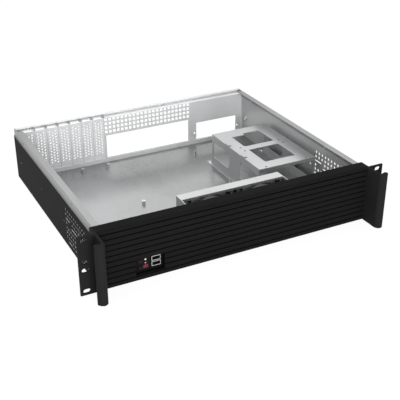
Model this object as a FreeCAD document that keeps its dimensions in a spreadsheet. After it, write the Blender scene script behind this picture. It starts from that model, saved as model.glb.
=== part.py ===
import FreeCAD, Part
import math
import os
import re

import Sketcher
from FreeCAD import Vector

# Empty two-unit rackmount server case, lid off: a folded steel tray with a ledged rear wall,
# perforated slot covers, a drive cage, two fans in a bracket, a finned aluminium front and
# rack ears that carry pull handles.  Millimetres.  The sizes below are written in the rack
# frame: X to the right seen from the front, Y to the rear with 0 on the front plane of the
# ears, Z up from the face that the case stands on.

doc = FreeCAD.newDocument("RackmountCase")

# A value that starts with = is worked out from the others.
SIZES = [
    ("body_width", 428.0, "outer width of the tray"),
    ("body_depth", 390.0, "ear plane to the rear edge of the tray"),
    ("tray_front", 20.0, "ear plane to the front wall of the tray"),
    ("case_height", 87.0, "top of the lid seat"),
    ("skirt_height", 75.0, "top of the painted side, where the lid seat steps in"),
    ("seat_step", 1.4, "how far the lid seat is set in"),
    ("seat_flange", 10.0, "width of the inward flange on the lid seat"),
    ("sheet", 1.2, "tray steel"),
    ("thin_sheet", 1.0, "steel of the inner parts"),
    ("front_wall_height", 84.0, "top of the front wall"),
    ("wall_flange", 9.0, "depth of the front wall's side flanges"),
    ("upstand_height", 8.6, "rear upstand of the tray floor"),
    ("upstand_notch", 6.5, "width of the notches between the slots in the rear upstand"),
    ("upstand_notch_deep", 1.4, "depth of those notches"),
    ("wall_plane", 374.0, "ear plane to the front face of the rear wall"),
    ("wall_end_gap", 1.6, "gap between the rear wall and each side of the tray"),
    ("ledge_height", 82.5, "top of the ledge that carries the slot covers"),
    ("lip_return", 5.0, "forward return on top of the rear lip"),
    ("foot_flange", 9.0, "foot of the rear wall"),
    ("slot_pitch", 20.32, "expansion slot pitch"),
    ("slot_count", 7, "expansion slots"),
    ("slot_gap", 10.56, "left side of the tray to the last expansion slot"),
    ("slot_right", "=slot_gap + slot_count*slot_pitch - body_width/2", "right edge of the first slot"),
    ("port_gap", 3.3, "first expansion slot to the port opening"),
    ("port_left", "=slot_right + port_gap", "left edge of the port opening"),
    ("port_wide", 158.75, "port opening width"),
    ("port_tall", 44.45, "port opening height"),
    ("port_low", 5.5, "bottom of the port opening"),
    ("supply_wide", 82.3, "power supply opening width"),
    ("supply_gap", 14.4, "right side of the tray to the power supply opening"),
    ("supply_left", "=body_width/2 - supply_wide - supply_gap", "left edge of the power supply opening"),
    ("supply_low", 6.5, "bottom of the power supply opening"),
    ("supply_tall", 34.5, "power supply opening height"),
    ("supply_screw_span", 89.5, "distance between the power supply screw holes"),
    ("supply_screw_height", 21.5, "height of the power supply screw holes"),
    ("screw_clearance", 1.8, "radius of the power supply screw holes"),
    ("grid_pitch", 7.5, "pitch of the square holes above the ports"),
    ("grid_hole", 5.0, "side of those square holes"),
    ("grid_columns", 22, "their columns"),
    ("grid_rows", 4, "their rows"),
    ("grid_low", 56.8, "height of their lowest row"),
    ("slot_window_wide", 15.2, "window in the rear wall behind each cover"),
    ("slot_window_low", 14.0, "bottom of that window"),
    ("slot_window_high", 79.0, "top of that window"),
    ("cover_wide", 18.4, "slot cover width"),
    ("cover_sheet", 0.9, "slot cover thickness"),
    ("cover_low", 2.4, "lower end of a slot cover"),
    ("cover_tab", 12.0, "depth of a cover's tab on the ledge"),
    ("cover_hole", 3.5, "diagonal of the cover's square holes"),
    ("cover_hole_pitch", 5.13, "row pitch of those holes"),
    ("cover_column_pitch", 5.2, "column pitch of those holes"),
    ("cover_hole_low", 20.0, "height of their lowest row"),
    ("cover_rows", 12, "rows in the outer columns"),
    ("tab_notch", 4.6, "notches in the tab's ends for the screws"),
    ("tab_notch_deep", 1.5, "depth of those notches"),
    ("slot_screw_radius", 1.5, "slot screw shank"),
    ("slot_screw_inset", 5.0, "screw axis behind the rear wall's front face"),
    ("screw_fit", 0.1, "radial clearance of a screw in its hole"),
    ("slot_head_radius", 3.0, "slot screw head"),
    ("slot_head_height", 2.0, "slot screw head"),
    ("vent_first", 37.0, "ear plane to the first vent column"),
    ("vent_pitch", 8.5, "column pitch of the side vents"),
    ("vent_row_pitch", 7.4, "row pitch of the side vents"),
    ("vent_low", 9.2, "height of the lowest vent row"),
    ("vent_wide", 4.4, "side vent hole width"),
    ("vent_tall", 5.4, "side vent hole height"),
    ("groove_tall", 2.4, "height of the long slots in the side vents"),
    ("rail_hole_radius", 2.1, "holes for the slide rails"),
    ("rail_hole_height", 37.0, "height of the rail holes"),
    ("rail_hole_first", 142.0, "ear plane to the first rail hole"),
    ("rail_hole_pitch", 109.0, "pitch of the rail holes"),
    ("lid_hole_radius", 1.6, "lid screw holes"),
    ("lid_hole_height", 81.0, "height of the lid screw holes"),
    ("lid_hole_first", 104.5, "ear plane to the front lid screw"),
    ("lid_hole_span", 232.0, "distance between the lid screws"),
    ("nut_radius", 3.6, "press nut, across its corners"),
    ("nut_height", 1.6, "press nut"),
    ("panel_height", 88.0, "finned front and ears"),
    ("panel_web", 6.0, "web of the finned front"),
    ("panel_flange", 2.5, "top and bottom flanges of the finned front"),
    ("panel_round", 6.0, "rounded top edge of the finned front"),
    ("panel_chamfer", 1.2, "lower front edge of the finned front"),
    ("fin_pitch", 8.44, "pitch of the fins"),
    ("fin_groove", 1.9, "groove height at the fin faces"),
    ("fin_groove_root", 1.2, "groove height at its root"),
    ("fin_depth", 3.4, "depth of the grooves"),
    ("fin_count", 10, "grooves"),
    ("fin_low", 7.0, "height of the lowest groove"),
    ("cutout_gap", 51.5, "left end of the finned front to the control cut-out"),
    ("cutout_left", "=cutout_gap - body_width/2", "left edge of the control cut-out"),
    ("cutout_wide", 43.0, "control cut-out width"),
    ("cutout_low", 7.0, "bottom of the control cut-out"),
    ("cutout_tall", 25.4, "control cut-out height"),
    ("ear_reach", 27.3, "edge of a rack ear beyond the side of the tray"),
    ("rack_width", "=body_width + 2*ear_reach", "over the rack ears"),
    ("ear_thickness", 3.0, "rack ear"),
    ("ear_slot_out", 18.55, "ear slots beyond the side of the tray"),
    ("ear_slot_span", "=body_width + 2*ear_slot_out", "distance between the ear slots"),
    ("ear_slot_outer", 76.2, "height between the outer ear slots"),
    ("ear_slot_inner", 12.7, "height between the inner ear slots"),
    ("ear_slot_long", 10.4, "ear slot length"),
    ("ear_slot_tall", 6.8, "ear slot height"),
    ("handle_wall", 3.4, "wall of the handle extrusion"),
    ("handle_reach", 34.5, "front of the handle ahead of the ears"),
    ("handle_lip", 13.5, "width of the handle's lip"),
    ("cage_wide", 105.2, "drive cage width"),
    ("cage_gap", 8.5, "drive cage to the right side of the tray"),
    ("cage_left", "=body_width/2 - cage_wide - cage_gap", "outer left face of the drive cage"),
    ("cage_front", 121.3, "ear plane to the front of the drive cage"),
    ("cage_deep", 158.4, "drive cage depth"),
    ("cage_top", 57.5, "top of the drive cage"),
    ("cage_foot", 4.0, "foot flanges of the drive cage"),
    ("cage_tongue_long", 13.0, "tongues of the feet ahead of the cage and behind it"),
    ("cage_tongue_wide", 7.6, "width of those tongues"),
    ("cage_lip", 6.0, "front lip of the cage top"),
    ("window_inset", 23.3, "cage windows from its left face"),
    ("window_wide", 56.6, "cage window width"),
    ("window_front", 21.5, "front window from the cage front"),
    ("window_deep", 52.0, "front window depth"),
    ("window_rib", 14.5, "rib between the windows"),
    ("rear_window_deep", 49.0, "rear window depth"),
    ("rear_window_step", 6.0, "how much shorter the rear window is at its left"),
    ("window_cut", 3.0, "cut corners of the windows"),
    ("side_cut_low", 16.8, "bottom of the cut-outs in the cage walls"),
    ("side_cut_tall", 29.2, "height of those cut-outs"),
    ("side_cut_long", 57.2, "length of those cut-outs"),
    ("side_cut_pitch", 92.4, "pitch of those cut-outs"),
    ("side_cut_front", 4.2, "front end of the first cut-out from the cage front"),
    ("clip_front", 47.0, "first clip on the cage's left edge from its front"),
    ("clip_pitch", 51.5, "pitch of the clips"),
    ("clip_slot", 2.4, "width of the lanced slots beside a clip"),
    ("clip_long", 10.0, "length of a clip"),
    ("clip_wide", 4.6, "width of a clip"),
    ("clip_proud", 1.3, "height of a clip over the cage top"),
    ("drive_hole_radius", 1.8, "drive screw holes"),
    ("drive_hole_inset", 15.2, "drive screw holes from the left face"),
    ("drive_hole_span", 74.5, "drive screw holes, across"),
    ("drive_hole_front", 5.0, "first drive screw holes from the cage front"),
    ("drive_hole_pitch", 67.6, "drive screw holes, along"),
    ("drive_hole_step", 14.0, "second drive's first holes behind the first drive's last"),
    ("foot_screw_radius", 1.5, "cage screw shank"),
    ("foot_head_radius", 2.7, "cage screw head"),
    ("foot_head_height", 1.7, "cage screw head"),
    ("bracket_left", -75.3, "left face of the fan bracket"),
    ("bracket_wide", 166.6, "fan bracket width"),
    ("bracket_plane", 40.0, "ear plane to the bracket's fan plate"),
    ("bracket_flange", 16.0, "depth of the bracket's top flange"),
    ("bracket_top", 84.0, "top of the fan bracket"),
    ("fan_size", 80.0, "fan frame"),
    ("fan_flange", 3.6, "fan mounting flange"),
    ("fan_depth", 15.0, "fan depth"),
    ("fan_low", 2.4, "bottom of the fan frame"),
    ("fan_gap", 2.0, "gap between the fans"),
    ("fan_bore", 37.8, "radius of the fan's air duct"),
    ("fan_duct_wall", 1.9, "wall of the air duct"),
    ("fan_hole_span", 71.5, "fan screw holes"),
    ("fan_screw_radius", 1.9, "fan screw shank"),
    ("fan_head_radius", 3.1, "fan screw head"),
    ("fan_head_height", 1.8, "fan screw head"),
    ("fan_spider", 2.2, "thickness of the motor carrier and its arms"),
    ("fan_arm", 3.0, "width of the motor carrier's arms"),
    ("motor_radius", 17.0, "motor carrier"),
    ("hub_radius", 15.5, "fan hub"),
    ("hub_gap", 0.8, "hub to motor carrier"),
    ("hub_front", 1.0, "hub behind the front of the duct"),
    ("blade_count", 7, "fan blades"),
    ("blade_tip", 35.6, "radius of the blade tips"),
    ("blade_thick", 1.3, "fan blade thickness"),
    ("blade_root_chord", 10.0, "blade chord at the hub"),
    ("blade_tip_chord", 17.0, "blade chord at the tip"),
    ("blade_root_angle", 48.0, "blade angle at the hub, degrees"),
    ("blade_tip_angle", 26.0, "blade angle at the tip, degrees"),
    ("shaft_radius", 1.5, "fan shaft"),
    ("shaft_clearance", 0.05, "radial clearance of the fan shaft"),
    ("housing_wall", 1.8, "wall of the control housing"),
    ("housing_depth", 3.6, "depth of the control housing's recess"),
    ("control_plate", 1.4, "floor of the control housing"),
    ("button_wide", 7.0, "push button width"),
    ("button_tall", 5.6, "push button height"),
    ("button_fit", 0.15, "clearance round a push button"),
    ("button_proud", 1.4, "push button ahead of the housing floor"),
    ("button_long", 5.6, "push button length"),
    ("button_column", 10.3, "button axis from the left of the cut-out"),
    ("button_high", 16.6, "upper button axis above the cut-out's bottom"),
    ("button_step", 10.4, "distance between the buttons"),
    ("switch_gap", 1.0, "push button to its switch"),
    ("switch_side", 6.0, "side of a switch"),
    ("light_radius", 1.5, "indicator lights"),
    ("light_column", 18.0, "lights from the left of the cut-out"),
    ("light_high", 17.6, "upper light above the cut-out's bottom"),
    ("light_step", 5.2, "distance between the lights"),
    ("status_wide", 7.4, "status window width"),
    ("status_tall", 5.6, "status window height"),
    ("status_drop", 10.6, "status window below the upper light"),
    ("usb_left", 26.2, "port sockets from the left of the cut-out"),
    ("usb_wide", 13.2, "port socket width"),
    ("usb_tall", 6.8, "port socket height"),
    ("usb_low", 5.8, "lower port socket above the cut-out's bottom"),
    ("usb_step", 8.4, "distance between the port sockets"),
    ("usb_wall", 0.5, "port socket sheet"),
    ("usb_proud", 2.4, "port socket ahead of the housing floor"),
    ("usb_tongue", 1.8, "tongue in a port socket"),
    ("board_plane", 17.0, "ear plane to the control board"),
    ("board_thick", 1.6, "control board"),
    ("standoff_height", 6.35, "board standoffs"),
    ("standoff_radius", 3.1, "board standoffs, across their corners"),
    ("standoff_thread", 1.3, "thread in a board standoff"),
    ("board_hole_gap", 4.8, "rear board standoff to the right edge of the first slot"),
    ("board_hole_x", "=slot_right - board_hole_gap", "that standoff"),
    ("board_hole_y", 351.6, "rear row of board standoffs"),
]

sizes = doc.addObject("Spreadsheet::Sheet", "sizes")
for row, (alias, value, meaning) in enumerate(SIZES, start=1):
    sizes.set(f"A{row}", meaning)
    sizes.set(f"B{row}", str(value))
    sizes.setAlias(f"B{row}", alias)
doc.recompute()

ALIASES = {alias for alias, value, meaning in SIZES}
# The rack frame's origin is moved to the middle of the whole object's footprint.
FRAME_SHIFT = "(handle_reach - body_depth)/2"


def size(formula):
    """The value of a formula of named sizes."""
    return float(sizes.evalExpression(formula))


def bound(formula):
    """The same formula as an expression that another object can hold."""

    def named(word):
        return f"sizes.{word[0]}" if word[0] in ALIASES else word[0]

    return re.sub(r"[a-z][a-z_]*", named, formula)


def bind(obj, **properties):
    """Set properties of an object to formulas."""
    for name, formula in properties.items():
        obj.setExpression(name, bound(formula))


def place(obj, x="0", y="0", z="0"):
    """Place a finished sub-part: its own offset, then the shift to the footprint's middle."""
    obj.setExpression("Placement.Base.x", bound(x))
    obj.setExpression("Placement.Base.y", bound(f"({y}) + {FRAME_SHIFT}"))
    obj.setExpression("Placement.Base.z", bound(z))


# Sketch and feature helpers ------------------------------------------------------------------

def new_body(label):
    body = doc.addObject("PartDesign::Body", label)
    body.Label = label
    return body


def new_sketch(body, plane, offset="0"):
    """An empty sketch on one of the body's origin planes, moved along that plane's normal."""
    origin = {feature.Role: feature for feature in body.Origin.OriginFeatures}
    sketch = body.newObject("Sketcher::SketchObject", "Outline")
    sketch.AttachmentSupport = [(origin[plane], "")]
    sketch.MapMode = "FlatFace"
    sketch.setExpression("AttachmentOffset.Base.z", bound(offset))
    return sketch


def pin_point(sketch, geometry, end, point):
    """Tie one point of a sketch to a pair of formulas."""
    for kind, formula in zip(("DistanceX", "DistanceY"), point):
        index = sketch.addConstraint(Sketcher.Constraint(kind, -1, 1, geometry, end, size(formula)))
        sketch.setExpression(f"Constraints[{index}]", bound(formula))


def fix_arc(sketch, arc, kind, formula):
    """Tie the bulge of an arc whose ends are pinned, by its radius or by its centre's x."""
    if kind == "radius":
        constraint = Sketcher.Constraint("Radius", arc, size(formula))
    else:
        constraint = Sketcher.Constraint("DistanceX", -1, 1, arc, 3, size(formula))
    index = sketch.addConstraint(constraint)
    sketch.setExpression(f"Constraints[{index}]", bound(formula))


def add_outline(sketch, points, arcs=None):
    """A closed outline.  arcs maps a side's number to (point it passes, what fixes it, formula)."""
    arcs = arcs or {}
    flat = [Vector(size(x), size(y), 0) for x, y in points]
    sides = []
    for index, start in enumerate(flat):
        end = flat[(index + 1) % len(flat)]
        if index in arcs:
            middle = Vector(*(size(formula) for formula in arcs[index][0]), 0)
            arc = Part.Arc(start, middle, end)
            sides.append(sketch.addGeometry(arc))
        else:
            sides.append(sketch.addGeometry(Part.LineSegment(start, end)))
    ends = []
    for index, side in enumerate(sides):
        first = Vector(sketch.getPoint(side, 1))
        ends.append((1, 2) if first.distanceToPoint(flat[index]) < 1e-6 else (2, 1))
    for index, side in enumerate(sides):
        after = (index + 1) % len(sides)
        sketch.addConstraint(
            Sketcher.Constraint("Coincident", side, ends[index][1], sides[after], ends[after][0]))
        pin_point(sketch, side, ends[index][0], points[index])
        if index in arcs:
            fix_arc(sketch, side, arcs[index][1], arcs[index][2])


def add_box(sketch, left, low, wide, tall):
    right, high = f"({left}) + ({wide})", f"({low}) + ({tall})"
    add_outline(sketch, [(left, low), (right, low), (right, high), (left, high)])


def add_circle(sketch, x, y, radius):
    circle = sketch.addGeometry(Part.Circle(Vector(size(x), size(y), 0), Vector(0, 0, 1), size(radius)))
    pin_point(sketch, circle, 3, (x, y))
    index = sketch.addConstraint(Sketcher.Constraint("Radius", circle, size(radius)))
    sketch.setExpression(f"Constraints[{index}]", bound(radius))


def add_stadium(sketch, x, y, long, tall):
    """A slot with round ends, its length along the sketch's first axis."""
    reach, radius = f"(({long}) - ({tall}))/2", f"({tall})/2"
    points = [
        (f"({x}) - {reach}", f"({y}) - {radius}"),
        (f"({x}) + {reach}", f"({y}) - {radius}"),
        (f"({x}) + {reach}", f"({y}) + {radius}"),
        (f"({x}) - {reach}", f"({y}) + {radius}"),
    ]
    right_end = ((f"({x}) + ({long})/2", y), "centre", f"({x}) + {reach}")
    left_end = ((f"({x}) - ({long})/2", y), "centre", f"({x}) - {reach}")
    add_outline(sketch, points, {1: right_end, 3: left_end})


def pad(body, sketch, length, along_normal=True):
    feature = body.newObject("PartDesign::Pad", "Pad")
    feature.Profile = sketch
    feature.Reversed = not along_normal
    bind(feature, Length=length)
    return feature


def pocket(body, sketch, length=None, along_normal=False):
    """Cut a sketch out of the body, right through both ways where no length is given."""
    feature = body.newObject("PartDesign::Pocket", "Pocket")
    feature.Profile = sketch
    if length is None:
        feature.Type = "ThroughAll"
        feature.SideType = "Symmetric"
    else:
        feature.Reversed = along_normal
        bind(feature, Length=length)
    return feature


def pattern(body, feature, *rows):
    """Repeat a feature along one or both axes of its own sketch: (axis, pitch, count)."""
    copies = body.newObject("PartDesign::LinearPattern", "Pattern")
    copies.Originals = [feature]
    for suffix, (axis, pitch, count) in zip(("", "2"), rows):
        setattr(copies, f"Direction{suffix}", (feature.Profile[0], [axis]))
        reach = f"{pitch}*({count} - 1)"
        bind(copies, **{f"Length{suffix}": reach, f"Occurrences{suffix}": count})
    body.Tip = copies
    return copies


def polar_pattern(body, feature, count):
    copies = body.newObject("PartDesign::PolarPattern", "Around")
    copies.Originals = [feature]
    copies.Axis = (feature.Profile[0], ["N_Axis"])
    bind(copies, Occurrences=count)
    body.Tip = copies
    return copies


def solids_part(label, solids):
    """A sub-part of several loose solids of one kind, such as a set of screws."""
    part = doc.addObject("Part::Feature", label)
    part.Label = label
    part.Shape = Part.makeCompound(solids)
    part.Placement = FreeCAD.Placement(Vector(0, size(FRAME_SHIFT), 0), FreeCAD.Rotation())
    return part


def screw(point, direction, shank_radius, shank_long, head_radius, head_height):
    """A pan-head screw: the point lies under the head, the direction points out of the head."""
    crown = head_height * 0.45
    outline = [
        Vector(0, 0, -shank_long),
        Vector(shank_radius, 0, -shank_long),
        Vector(shank_radius, 0, 0),
        Vector(head_radius, 0, 0),
        Vector(head_radius, 0, head_height - crown),
        Vector(head_radius - crown, 0, head_height),
        Vector(0, 0, head_height),
    ]
    face = Part.Face(Part.makePolygon(outline + outline[:1]))
    solid = face.revolve(Vector(0, 0, 0), Vector(0, 0, 1), 360)
    solid = Part.Solid(Part.Shell(solid.Faces))
    turn = FreeCAD.Rotation(Vector(0, 0, 1), direction)
    solid.Placement = FreeCAD.Placement(point, turn)
    return solid


def hexagon_prism(point, direction, radius, height, hole_radius):
    """A six-sided nut or standoff with its thread bored right through."""
    turns = [math.radians(60*corner) for corner in range(7)]
    corners = [Vector(radius*math.cos(turn), radius*math.sin(turn), 0) for turn in turns]
    prism = Part.Face(Part.makePolygon(corners)).extrude(Vector(0, 0, height))
    solid = prism.cut(Part.makeCylinder(hole_radius, height)).Solids[0]
    solid.Placement = FreeCAD.Placement(point, FreeCAD.Rotation(Vector(0, 0, 1), direction))
    return solid


# Tray ----------------------------------------------------------------------------------------

def build_floor():
    """Flat bottom of the tray, from the front wall to the case's rear edge."""
    body = new_body("chassis_floor")
    sketch = new_sketch(body, "XY_Plane")
    add_box(sketch, "-body_width/2", "tray_front", "body_width", "body_depth - tray_front")
    pad(body, sketch, "sheet")

    sketch = new_sketch(body, "XY_Plane")
    for x, y in cage_screw_places():
        add_circle(sketch, x, y, "foot_screw_radius + screw_fit")
    pocket(body, sketch, "2*sheet", along_normal=True)
    place(body)
    return body


def build_upstand():
    """Low strip in front of the rear wall, with a notch for the foot of each slot cover."""
    body = new_body("rear_upstand")
    sketch = new_sketch(body, "XZ_Plane", "-(wall_plane - cover_sheet - sheet)")
    span = "(body_width/2 - sheet - wall_end_gap - 6)"
    add_box(sketch, f"-{span}", "sheet", f"2*{span}", "upstand_height - sheet")
    pad(body, sketch, "sheet", along_normal=False)

    sketch = new_sketch(body, "XZ_Plane", "-(wall_plane - cover_sheet - 2*sheet)")
    last_edge = slot_edge("(slot_count - 1)")
    add_box(sketch, f"{last_edge} - 0.8*upstand_notch", "upstand_height - upstand_notch_deep",
            "upstand_notch", "2*upstand_notch_deep")
    notch = pocket(body, sketch, "3*sheet")
    pattern(body, notch, ("H_Axis", "slot_pitch", "slot_count"))
    place(body)
    return body


def vent_blocks():
    """Blocks of vent holes round the three long slots: first column, columns, first row, rows."""
    return [(0, 12, 6, 2), (0, 9, 5, 1), (0, 6, 4, 1), (11, 1, 4, 1), (0, 12, 1, 3), (0, 9, 0, 1)]


def vent_slots():
    """The long slots in the side vents: first column, last column, row."""
    return [(9.05, 11.4, 5), (5.6, 8.6, 4), (8.65, 10.7, 0)]


def build_side_wall(side, label):
    """Flat side of the tray, with its block of vents and the holes for a slide rail."""
    body = new_body(label)
    sketch = new_sketch(body, "XZ_Plane", "-tray_front")
    left = "body_width/2 - sheet" if side > 0 else "-body_width/2"
    add_box(sketch, left, "sheet", "sheet", "skirt_height - sheet")
    pad(body, sketch, "body_depth - tray_front", along_normal=False)

    for column, columns, row, rows in vent_blocks():
        sketch = new_sketch(body, "YZ_Plane")
        middle_y = f"vent_first + {column}*vent_pitch"
        middle_z = f"vent_low + {row}*vent_row_pitch"
        hexagon = [(-0.5, -0.22), (0, -0.5), (0.5, -0.22), (0.5, 0.22), (0, 0.5), (-0.5, 0.22)]
        corners = [(f"{middle_y} + {y}*vent_wide", f"{middle_z} + {z}*vent_tall") for y, z in hexagon]
        add_outline(sketch, corners)
        hole = pocket(body, sketch)
        across = ("H_Axis", "vent_pitch", str(columns))
        up = ("V_Axis", "vent_row_pitch", str(rows))
        directions = [direction for direction in (across, up) if direction[2] != "1"]
        if directions:
            pattern(body, hole, *directions)

    sketch = new_sketch(body, "YZ_Plane")
    for first, last, row in vent_slots():
        add_stadium(sketch, f"vent_first + {(first + last)/2}*vent_pitch", f"vent_low + {row}*vent_row_pitch",
                    f"{last - first}*vent_pitch", "groove_tall")
    for step in range(3):
        along = f"rail_hole_first + {step}*rail_hole_pitch"
        add_circle(sketch, along, "rail_hole_height", "rail_hole_radius")
    pocket(body, sketch)
    place(body)
    return body


def build_lid_rail(side, label):
    """Top of a side: it steps in from the flat side, and its flange carries the lid."""
    body = new_body(label)
    outer = "body_width/2"
    seat = f"{outer} - seat_step"
    section = [
        (outer, "skirt_height"),
        (seat, "skirt_height + seat_step"),
        (seat, "case_height"),
        (f"{seat} - seat_flange", "case_height"),
        (f"{seat} - seat_flange", "case_height - sheet"),
        (f"{seat} - sheet", "case_height - sheet"),
        (f"{seat} - sheet", "skirt_height + seat_step"),
        (f"{outer} - sheet", "skirt_height"),
    ]
    sketch = new_sketch(body, "XZ_Plane", "-tray_front")
    add_outline(sketch, [(f"{side}*({x})", z) for x, z in section])
    pad(body, sketch, "body_depth - tray_front", along_normal=False)

    # The rear wall's lip closes the top behind the wall, so the flange stops there.
    sketch = new_sketch(body, "XY_Plane", "case_height - sheet")
    edge = "(body_width/2 - seat_step - sheet)"
    add_box(sketch, f"-{edge}", "wall_plane - sheet", f"2*{edge}", "body_depth - wall_plane + 2*sheet")
    pocket(body, sketch, "2*sheet", along_normal=True)

    sketch = new_sketch(body, "YZ_Plane")
    for step in range(2):
        add_circle(sketch, f"lid_hole_first + {step}*lid_hole_span", "lid_hole_height", "lid_hole_radius")
    pocket(body, sketch)
    place(body)
    return body


# Front wall ----------------------------------------------------------------------------------

def build_front_wall():
    """Plate behind the finned front: an opening for the fans and one at each side of them."""
    body = new_body("front_wall")
    edge = "(body_width/2 - sheet)"
    points = [
        (edge, "sheet"),
        (edge, "skirt_height"),
        (f"{edge} - seat_step", "skirt_height + seat_step"),
        (f"{edge} - seat_step", "front_wall_height"),
    ]
    sketch = new_sketch(body, "XZ_Plane", "-tray_front")
    add_outline(sketch, points + [(f"-({x})", z) for x, z in points[::-1]])
    add_box(sketch, "bracket_left + sheet", "fan_low + sheet", "bracket_wide - 2*sheet", "fan_size - 4*sheet")
    for side in (-1, 1):
        gap = "bracket_left + bracket_wide + 12" if side > 0 else "12 - bracket_left"
        far, top = f"{edge} - 22", "skirt_height - 14"
        corners = [(gap, "14"), (far, "14"), (far, top), (gap, top)]
        add_outline(sketch, [(f"{side}*({x})", z) for x, z in corners])
    pad(body, sketch, "sheet", along_normal=False)

    sketch = new_sketch(body, "XY_Plane", "3*sheet")
    for left in (f"-{edge}", f"{edge} - sheet"):
        add_box(sketch, left, "tray_front", "sheet", "wall_flange")
    pad(body, sketch, "skirt_height - 6*sheet")
    place(body)
    return body


# Rear wall, slot covers ----------------------------------------------------------------------

def slot_middle(slot):
    return f"slot_right - ({slot} + 0.5)*slot_pitch"


def slot_edge(slot):
    """The right edge of a slot, where the screw that holds its cover stands."""
    return f"slot_right - {slot}*slot_pitch"


def rear_half():
    return "(body_width/2 - sheet - wall_end_gap)"


def build_rear_wall():
    """Flat plate across the rear, with the openings for the slots, the ports and the power supply."""
    body = new_body("rear_wall")
    sketch = new_sketch(body, "XZ_Plane", "-wall_plane")
    add_box(sketch, f"-{rear_half()}", "sheet", f"2*{rear_half()}", "ledge_height - sheet")
    pad(body, sketch, "thin_sheet", along_normal=False)

    sketch = new_sketch(body, "XZ_Plane")
    add_box(sketch, "port_left", "port_low", "port_wide", "port_tall")
    add_box(sketch, "supply_left", "supply_low", "supply_wide", "supply_tall")
    for side in (-1, 1):
        add_circle(sketch, f"supply_left + supply_wide/2 + {side}*supply_screw_span/2", "supply_screw_height",
                   "screw_clearance")
    pocket(body, sketch)

    last_slot = slot_middle("(slot_count - 1)")
    sketch = new_sketch(body, "XZ_Plane")
    add_box(sketch, f"{last_slot} - slot_window_wide/2", "slot_window_low", "slot_window_wide",
            "slot_window_high - slot_window_low")
    window = pocket(body, sketch)
    pattern(body, window, ("H_Axis", "slot_pitch", "slot_count"))

    sketch = new_sketch(body, "XZ_Plane", "-wall_plane")
    grid_left = "port_left + (port_wide - (grid_columns - 1)*grid_pitch - grid_hole)/2"
    add_box(sketch, grid_left, "grid_low - grid_hole/2", "grid_hole", "grid_hole")
    square = pocket(body, sketch, "thin_sheet")
    pattern(body, square, ("H_Axis", "grid_pitch", "grid_columns"), ("V_Axis", "grid_pitch", "grid_rows"))

    place(body)
    return body


def build_rear_ledge():
    """Ledge behind the top of the rear wall, with a lip up to the lid and a return forward."""
    body = new_body("rear_ledge")
    lip = "(body_depth - thin_sheet)"
    sketch = new_sketch(body, "YZ_Plane", f"-{rear_half()}")
    add_outline(sketch, [
        ("wall_plane + thin_sheet", "ledge_height"),
        (lip, "ledge_height"),
        (lip, "case_height - thin_sheet"),
        (f"{lip} - lip_return", "case_height - thin_sheet"),
        (f"{lip} - lip_return", "case_height"),
        ("body_depth", "case_height"),
        ("body_depth", "ledge_height - thin_sheet"),
        ("wall_plane + thin_sheet", "ledge_height - thin_sheet"),
    ])
    pad(body, sketch, f"2*{rear_half()}")

    sketch = new_sketch(body, "XY_Plane", "ledge_height + thin_sheet/2")
    add_circle(sketch, slot_edge("(slot_count - 1)"), "wall_plane + slot_screw_inset",
               "slot_screw_radius + screw_fit")
    thread = pocket(body, sketch, "2*thin_sheet")
    pattern(body, thread, ("H_Axis", "slot_pitch", "slot_count"))
    place(body)
    return body


def build_rear_foot():
    """Foot of the rear wall, flat on the floor."""
    body = new_body("rear_foot")
    sketch = new_sketch(body, "XY_Plane", "sheet")
    half = rear_half()
    add_box(sketch, f"-{half}", "wall_plane + thin_sheet", f"2*{half}", "foot_flange - thin_sheet")
    pad(body, sketch, "thin_sheet")
    place(body)
    return body


def build_slot_cover(slot):
    body = new_body(f"slot_cover_{slot + 1}")
    back = "(wall_plane - cover_sheet)"
    sketch = new_sketch(body, "YZ_Plane", "-cover_wide/2")
    add_outline(sketch, [
        (back, "cover_low"),
        ("wall_plane", "cover_low"),
        ("wall_plane", "ledge_height"),
        ("wall_plane + cover_tab", "ledge_height"),
        ("wall_plane + cover_tab", "ledge_height + cover_sheet"),
        (back, "ledge_height + cover_sheet"),
    ])
    pad(body, sketch, "cover_wide")

    # Notches in both ends of the tab: each screw stands between two tabs and holds both.
    sketch = new_sketch(body, "XY_Plane", "ledge_height - cover_sheet")
    for side in (-1, 1):
        middle = f"{side}*cover_wide/2"
        add_box(sketch, f"{middle} - tab_notch_deep", "wall_plane + slot_screw_inset - tab_notch/2",
                "2*tab_notch_deep", "tab_notch")
    pocket(body, sketch, "3*cover_sheet", along_normal=True)

    half = "cover_hole/2"
    for columns, first_row, rows in (((-1, 1), "cover_hole_low", "cover_rows"),
                                     ((0,), "cover_hole_low + cover_hole_pitch/2", "cover_rows - 1")):
        sketch = new_sketch(body, "XZ_Plane")
        for column in columns:
            x = f"{column}*cover_column_pitch"
            add_outline(sketch, [(f"{x} - {half}", first_row), (x, f"{first_row} - {half}"),
                                 (f"{x} + {half}", first_row), (x, f"{first_row} + {half}")])
        holes = pocket(body, sketch)
        pattern(body, holes, ("V_Axis", "cover_hole_pitch", rows))
    place(body, x=slot_middle(slot))
    return body


def build_slot_screws():
    seat = size("ledge_height + cover_sheet")
    screws = []
    for slot in range(int(size("slot_count"))):
        point = Vector(size(slot_edge(slot)), size("wall_plane + slot_screw_inset"), seat)
        shank = size("cover_sheet + 3*thin_sheet")
        screws.append(screw(point, Vector(0, 0, 1), size("slot_screw_radius"), shank,
                            size("slot_head_radius"), size("slot_head_height")))
    return solids_part("slot_screws", screws)


# Front ---------------------------------------------------------------------------------------

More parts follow.
